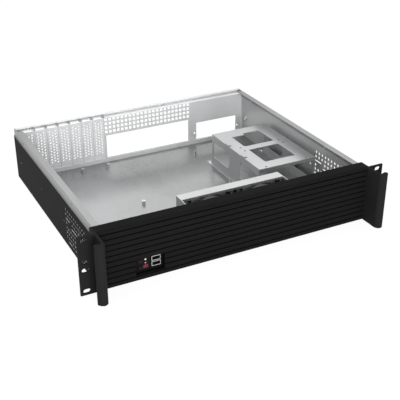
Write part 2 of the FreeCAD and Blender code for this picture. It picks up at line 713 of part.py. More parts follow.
def build_front_panel():
    body = new_body("front_panel")
    sketch = new_sketch(body, "YZ_Plane", "-body_width/2")
    add_outline(sketch, [
        ("panel_chamfer", "0"),
        ("tray_front", "0"),
        ("tray_front", "panel_flange"),
        ("panel_web", "panel_flange"),
        ("panel_web", "panel_height - panel_flange"),
        ("tray_front", "panel_height - panel_flange"),
        ("tray_front", "panel_height"),
        ("panel_round", "panel_height"),
        ("0", "panel_height - 0.75*panel_round"),
        ("0", "panel_chamfer"),
    ], {7: (("0.30*panel_round", "panel_height - 0.26*panel_round"), "radius", "1.06*panel_round")})
    pad(body, sketch, "body_width")

    sketch = new_sketch(body, "YZ_Plane")
    add_outline(sketch, [
        ("-1", "fin_low - fin_groove/2"),
        ("0", "fin_low - fin_groove/2"),
        ("fin_depth", "fin_low - fin_groove_root/2"),
        ("fin_depth", "fin_low + fin_groove_root/2"),
        ("0", "fin_low + fin_groove/2"),
        ("-1", "fin_low + fin_groove/2"),
    ])
    groove = pocket(body, sketch)
    pattern(body, groove, ("V_Axis", "fin_pitch", "fin_count"))

    sketch = new_sketch(body, "XZ_Plane", "1")
    add_box(sketch, "cutout_left", "cutout_low", "cutout_wide", "cutout_tall")
    pocket(body, sketch, "panel_web + 2")
    place(body)
    return body


def build_ear(side, label):
    """Rack ear and pull handle, one extrusion standing upright."""
    body = new_body(label)
    root = "body_width/2"
    lip_end = f"{root} + handle_lip"
    points = [
        (root, "tray_front"),
        (root, "-handle_reach + 6.5"),
        (f"{root} + 0.45*handle_lip", "-handle_reach"),
        (lip_end, "-handle_reach + 4.4"),
        (f"{lip_end} - 1.6", "-handle_reach + 10.4"),
        (f"{root} + handle_wall + 2", "-handle_reach + 8.4"),
        (f"{root} + handle_wall", "-handle_reach + 10.4"),
        (f"{root} + handle_wall", "0"),
        ("rack_width/2", "0"),
        ("rack_width/2", "ear_thickness"),
        (f"{root} + handle_wall", "ear_thickness"),
        (f"{root} + handle_wall", "tray_front"),
    ]
    arcs = {
        1: ((f"{root} + 1.6", "-handle_reach + 2.3"), "radius", "8"),
        2: ((f"{root} + 0.80*handle_lip", "-handle_reach + 1.2"), "radius", "9.5"),
        3: ((f"{lip_end} + 1.0", "-handle_reach + 8.1"), "radius", "3.6"),
        5: ((f"{root} + handle_wall + 0.6", "-handle_reach + 9.0"), "radius", "2"),
    }
    points = [(f"{side}*({x})", y) for x, y in points]
    arcs = {index: ((f"{side}*({x})", y), kind, value) for index, ((x, y), kind, value) in arcs.items()}
    sketch = new_sketch(body, "XY_Plane")
    add_outline(sketch, points, arcs)
    pad(body, sketch, "panel_height")

    sketch = new_sketch(body, "XZ_Plane", "handle_wall")
    for span in ("ear_slot_outer", "ear_slot_inner"):
        for half in (-1, 1):
            height = f"panel_height/2 + {half}*{span}/2"
            add_stadium(sketch, f"{side}*ear_slot_span/2", height, "ear_slot_long", "ear_slot_tall")
    pocket(body, sketch, "3*handle_wall")
    place(body)
    return body


# Drive cage ----------------------------------------------------------------------------------

def cage_tongues():
    """Four tongues that carry the screws: outer left corner and screw position of each."""
    ends = ("cage_front - cage_tongue_long", "cage_front + cage_deep - thin_sheet")
    lefts = ("cage_left - cage_foot", "cage_left + cage_wide + cage_foot - cage_tongue_wide")
    return [(left, end) for left in lefts for end in ends]


def cage_screw_places():
    return [(f"{left} + cage_tongue_wide/2", f"{end} + cage_tongue_long/2") for left, end in cage_tongues()]


def add_rounded_box(sketch, left, low, wide, tall, radii):
    """A box with round corners; the radii run from the lower left corner anticlockwise."""
    right, high = f"({left}) + ({wide})", f"({low}) + ({tall})"
    corners = [(left, low, 1, 1), (right, low, -1, 1), (right, high, -1, -1), (left, high, 1, -1)]
    points, arcs = [], {}
    for index, ((x, y, along, up), radius) in enumerate(zip(corners, radii)):
        on_side = (f"({x})", f"({y}) + {up}*({radius})")
        on_end = (f"({x}) + {along}*({radius})", f"({y})")
        points += [on_side, on_end] if index % 2 == 0 else [on_end, on_side]
        middle = (f"({x}) + {along}*0.2929*({radius})", f"({y}) + {up}*0.2929*({radius})")
        arcs[2*index] = (middle, "radius", radius)
    add_outline(sketch, points, arcs)


def build_drive_cage():
    body = new_body("drive_cage")
    right = "(cage_left + cage_wide)"
    sketch = new_sketch(body, "XZ_Plane", "-cage_front")
    foot_top = "sheet + thin_sheet"
    add_outline(sketch, [
        ("cage_left - cage_foot", "sheet"),
        ("cage_left + thin_sheet", "sheet"),
        ("cage_left + thin_sheet", "cage_top - thin_sheet"),
        (f"{right} - thin_sheet", "cage_top - thin_sheet"),
        (f"{right} - thin_sheet", "sheet"),
        (f"{right} + cage_foot", "sheet"),
        (f"{right} + cage_foot", foot_top),
        (right, foot_top),
        (right, "cage_top"),
        ("cage_left", "cage_top"),
        ("cage_left", foot_top),
        ("cage_left - cage_foot", foot_top),
    ])
    pad(body, sketch, "cage_deep", along_normal=False)

    sketch = new_sketch(body, "XY_Plane", "sheet")
    for left, end in cage_tongues():
        add_box(sketch, left, end, "cage_tongue_wide", "cage_tongue_long + thin_sheet")
    pad(body, sketch, "thin_sheet")

    sketch = new_sketch(body, "XZ_Plane", "-cage_front")
    add_box(sketch, "cage_left", "cage_top - cage_lip", "cage_wide", "cage_lip")
    pad(body, sketch, "thin_sheet", along_normal=False)

    # Two windows in the top, the rear one stepped, and drive screw holes beside them.
    window_left, window_right = "(cage_left + window_inset)", "(cage_left + window_inset + window_wide)"
    front_low = "(cage_front + window_front)"
    front_high = f"({front_low} + window_deep)"
    rear_low = f"({front_high} + window_rib)"
    rear_high = f"({rear_low} + rear_window_deep)"
    step = "(cage_left + window_inset + 0.43*window_wide)"
    sketch = new_sketch(body, "XY_Plane", "cage_top")
    add_outline(sketch, [
        (f"{window_left} + window_cut", front_low),
        (window_right, front_low),
        (window_right, front_high),
        (window_left, front_high),
        (window_left, f"{front_low} + window_cut"),
    ])
    add_outline(sketch, [
        (f"{window_left} + window_cut", rear_low),
        (window_right, rear_low),
        (window_right, f"{rear_high} - window_cut"),
        (f"{window_right} - window_cut", rear_high),
        (step, rear_high),
        (step, f"{rear_high} - rear_window_step"),
        (window_left, f"{rear_high} - rear_window_step"),
        (window_left, f"{rear_low} + window_cut"),
    ])
    for column in range(2):
        for along in ("0", "drive_hole_pitch", "drive_hole_pitch + drive_hole_step"):
            add_circle(sketch, f"cage_left + drive_hole_inset + {column}*drive_hole_span",
                       f"cage_front + drive_hole_front + {along}", "drive_hole_radius")
    for clip in range(2):
        for end in ("0", "clip_slot + clip_long"):
            along = f"cage_front + clip_front + {clip}*clip_pitch + {end}"
            add_box(sketch, "cage_left + 1.5*thin_sheet", along, "clip_wide", "clip_slot")
    pocket(body, sketch, "2*thin_sheet")

    # Clips pressed up between the lanced slots.
    sketch = new_sketch(body, "XY_Plane", "cage_top - thin_sheet/2")
    for clip in range(2):
        along = f"cage_front + clip_front + {clip}*clip_pitch + clip_slot"
        add_box(sketch, "cage_left + thin_sheet/4", along, "clip_wide", "clip_long")
    pad(body, sketch, "clip_proud + thin_sheet/2")

    # Cut-outs with rounded corners, right through both walls.
    for cut in range(2):
        sketch = new_sketch(body, "YZ_Plane")
        add_rounded_box(sketch, f"cage_front + side_cut_front + {cut}*side_cut_pitch", "side_cut_low",
                        "side_cut_long", "side_cut_tall", ("8", "6", "4", "13"))
        pocket(body, sketch)

    sketch = new_sketch(body, "XY_Plane")
    for x, y in cage_screw_places():
        add_circle(sketch, x, y, "foot_screw_radius + screw_fit")
    pocket(body, sketch, "sheet + 2*thin_sheet", along_normal=True)
    place(body)
    return body


def build_cage_screws():
    seat = size("sheet + thin_sheet")
    screws = [screw(Vector(size(x), size(y), seat), Vector(0, 0, 1), size("foot_screw_radius"), seat - 0.2,
                    size("foot_head_radius"), size("foot_head_height")) for x, y in cage_screw_places()]
    return solids_part("cage_screws", screws)


# Fans ----------------------------------------------------------------------------------------

def fan_middle(number):
    """Centre of a fan across the case: the pair is centred in the bracket."""
    side = 2*number - 1
    return f"(bracket_left + bracket_wide/2 + {side}*(fan_size + fan_gap)/2)"


FAN_HEIGHT = "(fan_low + fan_size/2)"


def build_fan_bracket():
    body = new_body("fan_bracket")
    right = "(bracket_left + bracket_wide)"
    plate = "bracket_plane"
    front = "(tray_front + sheet)"
    rear = "(bracket_plane + bracket_flange)"
    sketch = new_sketch(body, "XY_Plane", "sheet")
    add_outline(sketch, [
        ("bracket_left", front),
        ("bracket_left + thin_sheet", front),
        ("bracket_left + thin_sheet", plate),
        (f"{right} - thin_sheet", plate),
        (f"{right} - thin_sheet", front),
        (right, front),
        (right, rear),
        (f"{right} - thin_sheet", rear),
        (f"{right} - thin_sheet", f"{plate} + thin_sheet"),
        ("bracket_left + thin_sheet", f"{plate} + thin_sheet"),
        ("bracket_left + thin_sheet", rear),
        ("bracket_left", rear),
    ])
    pad(body, sketch, "bracket_top - sheet")

    for low, deep in (("bracket_top - thin_sheet", "bracket_flange"), ("sheet", "bracket_flange - 4")):
        sketch = new_sketch(body, "XY_Plane", low)
        add_box(sketch, "bracket_left", "bracket_plane", "bracket_wide", deep)
        pad(body, sketch, "thin_sheet")

    sketch = new_sketch(body, "XZ_Plane", "-bracket_plane")
    for number in range(2):
        add_circle(sketch, fan_middle(number), FAN_HEIGHT, "fan_bore")
        for x, z in fan_screw_places(number):
            add_circle(sketch, x, z, "fan_screw_radius + screw_fit")
    pocket(body, sketch, "2*thin_sheet")
    place(body)
    return body


def fan_screw_places(number):
    corners = [(across, up) for across in (-1, 1) for up in (-1, 1)]
    middle = fan_middle(number)
    return [(f"{middle} + {i}*fan_hole_span/2", f"{FAN_HEIGHT} + {j}*fan_hole_span/2") for i, j in corners]


def build_fan_frame(number):
    """Fan frame: a square flange at the rear, a round duct ahead of it and a motor carrier."""
    body = new_body(f"fan_frame_{number + 1}")
    half = "fan_size/2"
    duct = "(fan_bore + fan_duct_wall)"
    sketch = new_sketch(body, "XZ_Plane")
    add_box(sketch, f"-{half}", f"-{half}", "fan_size", "fan_size")
    add_circle(sketch, "0", "0", "fan_bore")
    pad(body, sketch, "fan_flange")

    sketch = new_sketch(body, "XZ_Plane", "fan_flange - 0.5")
    add_circle(sketch, "0", "0", duct)
    add_circle(sketch, "0", "0", "fan_bore")
    pad(body, sketch, "fan_depth - fan_flange + 0.5")

    # Open corners: the flange is relieved between the duct and each screw boss.
    tangent = "fan_size/2 + 1"
    clear = f"({duct} + 1)"
    for mirror in (False, True):
        sketch = new_sketch(body, "XZ_Plane")
        points = [("-28.5", f"sqrt({clear}^2 - 28.5^2)"), ("-28.5", tangent), ("-12", tangent),
                  ("-12", f"sqrt({clear}^2 - 12^2)")]
        middle = ("-20.6", f"sqrt({clear}^2 - 20.6^2)")
        if mirror:
            points = [(f"-({z})", f"-({x})") for x, z in points]
            middle = (f"-({middle[1]})", f"-({middle[0]})")
        add_outline(sketch, points, {3: (middle, "radius", clear)})
        relief = pocket(body, sketch, "fan_flange + 1", along_normal=True)
        polar_pattern(body, relief, "4")

    sketch = new_sketch(body, "XZ_Plane")
    hole = "fan_hole_span/2"
    add_circle(sketch, f"-{hole}", hole, "fan_screw_radius + screw_fit")
    screw_hole = pocket(body, sketch, "fan_flange + 1", along_normal=True)
    polar_pattern(body, screw_hole, "4")

    # Motor carrier on four arms at the rear of the duct, bored for the shaft.
    sketch = new_sketch(body, "XZ_Plane")
    add_box(sketch, "-fan_arm/2", "motor_radius - 1", "fan_arm", "fan_bore - motor_radius + 1.6")
    arm = pad(body, sketch, "fan_spider")
    polar_pattern(body, arm, "4")
    sketch = new_sketch(body, "XZ_Plane")
    add_circle(sketch, "0", "0", "motor_radius")
    pad(body, sketch, "fan_spider")
    sketch = new_sketch(body, "XZ_Plane")
    add_circle(sketch, "0", "0", "shaft_radius + shaft_clearance")
    pocket(body, sketch)
    place(body, x=fan_middle(number), y="bracket_plane", z=FAN_HEIGHT)
    return body


def build_fan_rotor(number):
    """Hub with a shaft and seven twisted blades, turning about the fan's axis."""
    body = new_body(f"fan_rotor_{number + 1}")
    hub_rear = "(fan_spider + hub_gap)"
    hub_front = "(fan_depth - hub_front)"
    sketch = new_sketch(body, "XZ_Plane", hub_rear)
    add_circle(sketch, "0", "0", "hub_radius")
    pad(body, sketch, f"{hub_front} - {hub_rear}")
    sketch = new_sketch(body, "XZ_Plane", "0.2")
    add_circle(sketch, "0", "0", "shaft_radius")
    pad(body, sketch, f"{hub_rear}")

    middle = f"-({hub_front} + {hub_rear})/2"
    loft = body.newObject("PartDesign::AdditiveLoft", "Blade")
    sections = []
    for radius, chord, angle in (("hub_radius - 1.5", "blade_root_chord", "blade_root_angle"),
                                 ("blade_tip", "blade_tip_chord", "blade_tip_angle")):
        section = new_sketch(body, "YZ_Plane", radius)
        corners = []
        for along, across in ((-0.5, -0.5), (0.5, -0.5), (0.5, 0.5), (-0.5, 0.5)):
            y = f"{middle} + {along}*{chord}*sin({angle}*1deg) + {across}*blade_thick*cos({angle}*1deg)"
            z = f"{along}*{chord}*cos({angle}*1deg) - {across}*blade_thick*sin({angle}*1deg)"
            corners.append((y, z))
        add_outline(section, corners)
        sections.append(section)
    loft.Profile = sections[0]
    loft.Sections = [sections[1]]
    loft.Ruled = True
    around = body.newObject("PartDesign::PolarPattern", "Around")
    around.Originals = [loft]
    origin = {feature.Role: feature for feature in body.Origin.OriginFeatures}
    around.Axis = (origin["Y_Axis"], [""])
    bind(around, Occurrences="blade_count")
    body.Tip = around
    place(body, x=fan_middle(number), y="bracket_plane", z=FAN_HEIGHT)
    return body


def build_fan_screws():
    screws = []
    for number in range(2):
        for x, z in fan_screw_places(number):
            point = Vector(size(x), size("bracket_plane - fan_flange"), size(z))
            shank = size("fan_flange + 2*thin_sheet")
            screws.append(screw(point, Vector(0, -1, 0), size("fan_screw_radius"), shank,
                                size("fan_head_radius"), size("fan_head_height")))
    return solids_part("fan_screws", screws)


# Front controls ------------------------------------------------------------------------------

PLATE = "(panel_web + housing_depth)"


def button_height(number):
    return f"(cutout_low + button_high - {number}*button_step)"


def light_height(number):
    return f"(cutout_low + light_high - {number}*light_step)"


def usb_low_edge(number):
    return f"(cutout_low + usb_low + {number}*usb_step)"


BUTTON_X = "(cutout_left + button_column)"
LIGHT_X = "(cutout_left + light_column)"
USB_X = "(cutout_left + usb_left)"
STATUS_Z = "(cutout_low + light_high - status_drop)"


def build_control_housing():
    """A shallow cup behind the cut-out: its floor carries the buttons, lights and sockets."""
    body = new_body("control_housing")
    left = "(cutout_left - housing_wall)"
    low = "(cutout_low - housing_wall)"
    sketch = new_sketch(body, "XZ_Plane", "-panel_web")
    add_box(sketch, left, low, "cutout_wide + 2*housing_wall", "cutout_tall + 2*housing_wall")
    pad(body, sketch, "housing_depth + control_plate", along_normal=False)
    sketch = new_sketch(body, "XZ_Plane", "-panel_web")
    add_box(sketch, "cutout_left", "cutout_low", "cutout_wide", "cutout_tall")
    pocket(body, sketch, "housing_depth")
    sketch = new_sketch(body, "XZ_Plane", "-panel_web")
    for number in range(2):
        button_low = f"{button_height(number)} - button_tall/2 - button_fit"
        add_box(sketch, f"{BUTTON_X} - button_wide/2 - button_fit", button_low, "button_wide + 2*button_fit",
                "button_tall + 2*button_fit")
        socket_low = f"{usb_low_edge(number)} - button_fit"
        add_box(sketch, f"{USB_X} - button_fit", socket_low, "usb_wide + 2*button_fit",
                "usb_tall + 2*button_fit")
        add_circle(sketch, LIGHT_X, light_height(number), "light_radius + screw_fit")
    add_box(sketch, f"{LIGHT_X} - status_wide/2", f"{STATUS_Z} - status_tall/2", "status_wide", "status_tall")
    pocket(body, sketch, "housing_depth + 2*control_plate")
    place(body)
    return body


def build_button(number, label):
    """A square push button that slides through the housing floor."""
    body = new_body(label)
    sketch = new_sketch(body, "XZ_Plane", "button_proud")
    add_box(sketch, "-button_wide/2", "-button_tall/2", "button_wide", "button_tall")
    pad(body, sketch, "button_long", along_normal=False)
    dish = new_sketch(body, "XZ_Plane", "button_proud")
    add_box(dish, "-button_wide/2 + 0.9", "-button_tall/2 + 0.9", "button_wide - 1.8", "button_tall - 1.8")
    pocket(body, dish, "0.3")
    place(body, x=BUTTON_X, y=PLATE, z=button_height(number))
    return body


def build_light(label, height):
    """A round indicator light with a domed front, from the housing floor back to the board."""
    body = new_body(label)
    origin = {feature.Role: feature for feature in body.Origin.OriginFeatures}
    sketch = new_sketch(body, "XY_Plane")
    add_outline(sketch, [("0", "-1.2"), ("light_radius", "0"), ("light_radius", f"board_plane - {PLATE}"),
                         ("0", f"board_plane - {PLATE}")],
                {0: (("0.72*light_radius", "-0.78"), "radius", "1.1*light_radius")})
    turn = body.newObject("PartDesign::Revolution", "Turned")
    turn.Profile = sketch
    turn.ReferenceAxis = (origin["Y_Axis"], [""])
    turn.Angle = 360
    place(body, x=LIGHT_X, y=PLATE, z=height)
    return body


def build_status_window():
    body = new_body("status_window")
    sketch = new_sketch(body, "XZ_Plane", "0.5")
    add_box(sketch, "-status_wide/2", "-status_tall/2", "status_wide", "status_tall")
    pad(body, sketch, f"board_plane - {PLATE} + 0.5", along_normal=False)
    place(body, x=LIGHT_X, y=PLATE, z=STATUS_Z)
    return body


def build_usb_socket(number, label):
    """A folded metal socket, open at the front, soldered to the board."""
    body = new_body(label)
    depth = f"board_plane - {PLATE} + usb_proud"
    sketch = new_sketch(body, "XZ_Plane", "usb_proud")
    add_box(sketch, "0", "0", "usb_wide", "usb_tall")
    pad(body, sketch, depth, along_normal=False)
    sketch = new_sketch(body, "XZ_Plane", "usb_proud")
    add_box(sketch, "usb_wall", "usb_wall", "usb_wide - 2*usb_wall", "usb_tall - 2*usb_wall")
    pocket(body, sketch, f"{depth} - usb_wall")
    place(body, x=USB_X, y=PLATE, z=usb_low_edge(number))
    return body


def build_usb_tongues():
    """The plastic tongues that carry the contacts, one in each socket."""
    tongues = []
    rear = size("board_plane - usb_wall")
    front = size(f"{PLATE} - usb_proud + 1")
    for number in range(2):
        corner = Vector(size(f"{USB_X} + 2*usb_wall"), front, size(f"{usb_low_edge(number)} + usb_tall/2"))
        tongues.append(Part.makeBox(size("usb_wide - 4*usb_wall"), rear - front, size("usb_tongue"), corner))
    return solids_part("usb_tongues", tongues)


def build_control_board():
    """Circuit board behind the housing, with a switch block behind each button."""
    body = new_body("control_board")
    sketch = new_sketch(body, "XZ_Plane", "-board_plane")
    add_box(sketch, "cutout_left - housing_wall", "cutout_low - housing_wall",
            "cutout_wide + 2*housing_wall", "cutout_tall + 2*housing_wall")
    pad(body, sketch, "board_thick", along_normal=False)
    sketch = new_sketch(body, "XZ_Plane", "-board_plane")
    for number in range(2):
        switch_low = f"{button_height(number)} - switch_side/2"
        add_box(sketch, f"{BUTTON_X} - switch_side/2", switch_low, "switch_side", "switch_side")
    pad(body, sketch, f"board_plane - {PLATE} + button_proud - button_long - switch_gap")
    place(body)
    return body


# Small fixings -------------------------------------------------------------------------------

def board_standoff_places():
    """Standoffs of a full-size board: the standard holes, and one more beside the rear row."""
    inch = 25.4
    middle_row, front_row = -6.10*inch, -8.95*inch
    left, right = -4.90*inch, 6.20*inch
    places = [(left, 0), (0, 0), (-1.80*inch, 0), (right, -0.90*inch)]
    places += [(x, y) for y in (middle_row, front_row) for x in (left, 0, right)]
    return places


def build_standoffs():
    posts = []
    for x, y in board_standoff_places():
        point = Vector(size("board_hole_x") + x, size("board_hole_y") + y, size("sheet"))
        posts.append(hexagon_prism(point, Vector(0, 0, 1), size("standoff_radius"), size("standoff_height"),
                                   size("standoff_thread")))
    return solids_part("board_standoffs", posts)


def build_press_nuts():
    """Nuts pressed into the sides from within: for the slide rails and for the lid screws."""
    nuts = []
    for side in (-1, 1):
        inward = Vector(-side, 0, 0)
        for step in range(3):
            along = size("rail_hole_first") + step*size("rail_hole_pitch")
            point = Vector(side*size("body_width/2 - sheet"), along, size("rail_hole_height"))
            nuts.append(hexagon_prism(point, inward, size("nut_radius"), size("nut_height"),
                                      size("rail_hole_radius")))
        for step in range(2):
            point = Vector(side*size("body_width/2 - seat_step - sheet"),
                           size("lid_hole_first") + step*size("lid_hole_span"), size("lid_hole_height"))
            nuts.append(hexagon_prism(point, inward, size("nut_radius - 0.6"), size("nut_height"),
                                      size("lid_hole_radius")))
    return solids_part("press_nuts", nuts)


# Build, check and write ----------------------------------------------------------------------

parts = [build_floor(), build_upstand(), build_front_wall()]
parts += [build_side_wall(-1, "left_side_wall"), build_side_wall(1, "right_side_wall")]
parts += [build_lid_rail(-1, "left_lid_rail"), build_lid_rail(1, "right_lid_rail")]
parts += [build_rear_wall(), build_rear_ledge(), build_rear_foot()]
parts += [build_slot_cover(slot) for slot in range(int(size("slot_count")))]
parts += [build_slot_screws(), build_front_panel()]
parts += [build_ear(-1, "left_ear_handle"), build_ear(1, "right_ear_handle")]
parts += [build_drive_cage(), build_cage_screws(), build_fan_bracket()]
parts += [build_fan_frame(number) for number in range(2)]
parts += [build_fan_rotor(number) for number in range(2)]
parts += [build_fan_screws(), build_control_housing()]
parts += [build_button(0, "power_button"), build_button(1, "reset_button")]
parts += [build_light("power_light", light_height(0)), build_light("disk_light", light_height(1))]
parts += [build_status_window(), build_usb_socket(0, "usb_socket_lower")]
parts += [build_usb_socket(1, "usb_socket_upper")]
parts += [build_usb_tongues(), build_control_board(), build_standoffs(), build_press_nuts()]
doc.recompute()

for obj in doc.Objects:
    if "Invalid" in obj.State or "Error" in obj.State:
        raise RuntimeError(f"{obj.Label} did not build: {obj.State}")
for part in parts:
    if part.Shape.isNull() or not part.Shape.isValid() or not part.Shape.Solids:
        raise RuntimeError(f"{part.Label} has no valid solid")

os.makedirs("parts", exist_ok=True)
for part in parts:
    part.Shape.exportStep(os.path.join("parts", f"{part.Label}.step"))
    print(f"{part.Label}: {len(part.Shape.Solids)} solids, {len(part.Shape.Faces)} faces")
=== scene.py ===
"""Finishes, fasteners, stage and camera for an empty two-unit rackmount server case."""

import math

import bpy
from mathutils import Matrix, Vector


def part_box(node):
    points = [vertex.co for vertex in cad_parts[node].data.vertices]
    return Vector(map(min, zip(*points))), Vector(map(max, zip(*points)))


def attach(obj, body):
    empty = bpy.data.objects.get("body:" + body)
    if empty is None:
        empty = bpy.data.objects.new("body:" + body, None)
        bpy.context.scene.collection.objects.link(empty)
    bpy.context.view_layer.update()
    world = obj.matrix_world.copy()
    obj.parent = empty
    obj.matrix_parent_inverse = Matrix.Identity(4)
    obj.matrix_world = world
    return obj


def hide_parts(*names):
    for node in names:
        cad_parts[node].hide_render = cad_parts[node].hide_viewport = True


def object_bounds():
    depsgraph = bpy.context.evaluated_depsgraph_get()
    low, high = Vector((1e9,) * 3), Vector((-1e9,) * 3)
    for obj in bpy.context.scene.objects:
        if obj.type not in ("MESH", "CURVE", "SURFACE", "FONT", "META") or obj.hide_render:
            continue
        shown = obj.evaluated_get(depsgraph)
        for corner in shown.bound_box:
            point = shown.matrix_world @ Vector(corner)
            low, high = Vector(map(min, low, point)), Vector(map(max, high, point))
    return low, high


bl_info = {
    "name": "Rackmount Case Looks",
    "version": (1, 0, 0),
    "blender": (4, 5, 0),
    "location": "3D View > Sidebar > Case",
    "description": "Dresses an empty rackmount server case and sets its stage",
    "category": "Object",
}

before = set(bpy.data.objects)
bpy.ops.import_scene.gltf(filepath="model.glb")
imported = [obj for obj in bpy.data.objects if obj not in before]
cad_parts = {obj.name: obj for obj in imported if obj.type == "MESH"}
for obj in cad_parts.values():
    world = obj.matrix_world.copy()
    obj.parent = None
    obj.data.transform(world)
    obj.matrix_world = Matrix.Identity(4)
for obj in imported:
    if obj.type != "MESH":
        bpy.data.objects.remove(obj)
CAD_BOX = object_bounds()
MM = 0.001
WHITE = (1.0, 1.0, 1.0, 1.0)

# Noise cells in a metre along x, y and z
ZINC_ACROSS = (30.0, 2200.0, 2200.0)
ZINC_ALONG = (2200.0, 30.0, 2200.0)
ZINC_STAINS = (9.0, 7.0, 9.0)
ZINC_GRAIN = (900.0, 900.0, 900.0)
PAINT_SPECKLE = (1400.0, 1400.0, 1400.0)
PAINT_FADE = (5.0, 5.0, 5.0)
SATIN_TONE = (7.0, 7.0, 14.0)
STEEL_GRAIN = (2500.0, 2500.0, 2500.0)
BOARD_TRACKS = (500.0, 500.0, 120.0)

# Grains or cells in a metre, the same along every axis
SATIN_GRAIN = 1800.0
MOULDED_GRAIN = 900.0
BLADE_GRAIN = 700.0
LENS_CELLS = 900.0
WINDOW_CELLS = 420.0

# Shades that a finish runs between, or its one other shade, over its own colour
STAIN_TONES = (0.93, 1.05)
EVEN_TONES = (0.85, 1.15)
STEEL_TONES = (0.85, 1.1)
BOARD_TONES = (0.8, 1.25)
# The sockets' painted shade: full colour at the mouth, near black deeper in
SOCKET_SHADE_TONES = (1.0, 0.02)
LINE_TONE = 0.8
LENS_TONE = 0.8

# How far a finish's roughness runs below and above its setting
ZINC_SPREAD = (-0.03, 0.03)
PAINT_SPREAD = (-0.06, 0.06)
SATIN_SPREAD = (-0.05, 0.05)
STEEL_SPREAD = (-0.05, 0.07)

# Noise values between which stains and board tracks go from none to full
STAIN_RANGE = (0.35, 0.65)
TRACK_RANGE = (0.48, 0.52)

# Most of the darker line shade that is mixed in, and the grain's height over the lines'
LINE_SHARE = 0.08
GRAIN_SHARE = 0.3

# Bump depths, and where the paint and the sockets' shadows begin and end, in metres
FINE_BUMP = 0.00003
PAINT_BUMP = 0.00006
PAINT_SKIN = 0.5 * MM
SHADOW_START = 0.4 * MM
SHADOW_END = 1.4 * MM

# Screw heads as the CAD has them, and the thickness of a fan's rear flange
SLOT_COUNT = 7
SLOT_HEAD_RADIUS = 3.0 * MM
CAGE_HEAD_RADIUS = 2.7 * MM
FAN_HEAD_RADIUS = 3.1 * MM
FAN_FLANGE = 3.6 * MM
FAN_FRAMES = ("fan_frame_1", "fan_frame_2")

# A screw head's straight rim over its whole height, and the random turns of the recesses
RIM_SHARE = 0.55
MOST_TURN = 1.5
TURN_SEED = 4

# Size and place of each lamp, in metres
KEY_LAMP = (1.6, (0.3, 0.9, 1.3))
SIDE_LAMP = (1.2, (-0.9, 0.2, 1.2))
FRONT_LAMP = (1.0, (-0.5, -1.8, 0.3))

# Half the floor's width and its drop under the case, in metres
FLOOR_REACH = 6.0
FLOOR_DROP = 0.1 * MM

# Heights on the reflected dome, from -1 to 1, between which its brightness rises
DOME_RISE = (0.42, 0.58)


# Node helpers --------------------------------------------------------------------------------

def find_socket(sockets, identifier):
    """The socket with this identifier, where several share one name."""
    return next(socket for socket in sockets if socket.identifier == identifier)


def fill_input(tree, target, value):
    """Sets an input to a value, or links it to a socket."""
    if isinstance(value, bpy.types.NodeSocket):
        tree.links.new(value, target)
    else:
        target.default_value = value


def add_node(tree, kind, inputs=None, **settings):
    """A new node; each input is given by name or number, as a value or as a socket to link."""
    made = tree.nodes.new(kind)
    for name, value in settings.items():
        setattr(made, name, value)
    for name, value in (inputs or {}).items():
        fill_input(tree, made.inputs[name], value)
    return made


def math_node(tree, operation, first, second=0.0, third=0.0):
    made = add_node(tree, "ShaderNodeMath", {0: first, 1: second, 2: third}, operation=operation)
    return made.outputs[0]


def object_point(tree, scale=(1.0, 1.0, 1.0)):
    """The point on the piece in metres, stretched by scale for a pattern."""
    point = add_node(tree, "ShaderNodeTexCoord").outputs["Object"]
    return add_node(tree, "ShaderNodeMapping", {"Vector": point, "Scale": scale}).outputs["Vector"]


def noise(tree, per_metre, detail=2.0, roughness=0.5):
    """Noise from 0 to 1 with so many cells in a metre along each axis."""
    point = object_point(tree, per_metre)
    inputs = {"Vector": point, "Scale": 1.0, "Detail": detail, "Roughness": roughness}
    return add_node(tree, "ShaderNodeTexNoise", inputs).outputs[0]


def map_range(tree, value, low, high, from_low=0.3, from_high=0.7):
    inputs = {"Value": value, "From Min": from_low, "From Max": from_high, "To Min": low, "To Max": high}
    return add_node(tree, "ShaderNodeMapRange", inputs).outputs["Result"]


def mix_colour(tree, factor, first, second):
    made = add_node(tree, "ShaderNodeMix", data_type="RGBA")
    for identifier, value in (("Factor_Float", factor), ("A_Color", first), ("B_Color", second)):
        fill_input(tree, find_socket(made.inputs, identifier), value)
    return find_socket(made.outputs, "Result_Color")


def mix_shaders(tree, factor, first, second):
    """Ends the material in a mix of two shaders."""
    mixed = add_node(tree, "ShaderNodeMixShader", {0: factor, 1: first.outputs[0], 2: second.outputs[0]})
    tree.links.new(mixed.outputs[0], tree.nodes["Material Output"].inputs["Surface"])


def new_material(name, **values):
    """A material and its shader, with plain values set on the shader's own sockets."""
    made = bpy.data.materials.new(name)
    made.use_nodes = True
    shader = made.node_tree.nodes["Principled BSDF"]
    for socket, value in values.items():
        shader.inputs[socket.replace("_", " ")].default_value = value
    return made, made.node_tree, shader


def shade(colour, factor):
    return (colour[0] * factor, colour[1] * factor, colour[2] * factor, 1.0)


def tone_base(tree, shader, factor, colour, tones):
    """Lets the base colour run from one shade of the colour to another."""
    tinted = mix_colour(tree, factor, shade(colour, tones[0]), shade(colour, tones[1]))
    tree.links.new(tinted, shader.inputs["Base Color"])


def vary_roughness(tree, shader, factor, middle, spread):
    rough = map_range(tree, factor, middle + spread[0], middle + spread[1])
    tree.links.new(rough, shader.inputs["Roughness"])


def add_bump(tree, shader, height, depth, strength=0.6):
    bump = add_node(tree, "ShaderNodeBump", {"Height": height, "Distance": depth, "Strength": strength})
    tree.links.new(bump.outputs["Normal"], shader.inputs["Normal"])


# Finishes ------------------------------------------------------------------------------------

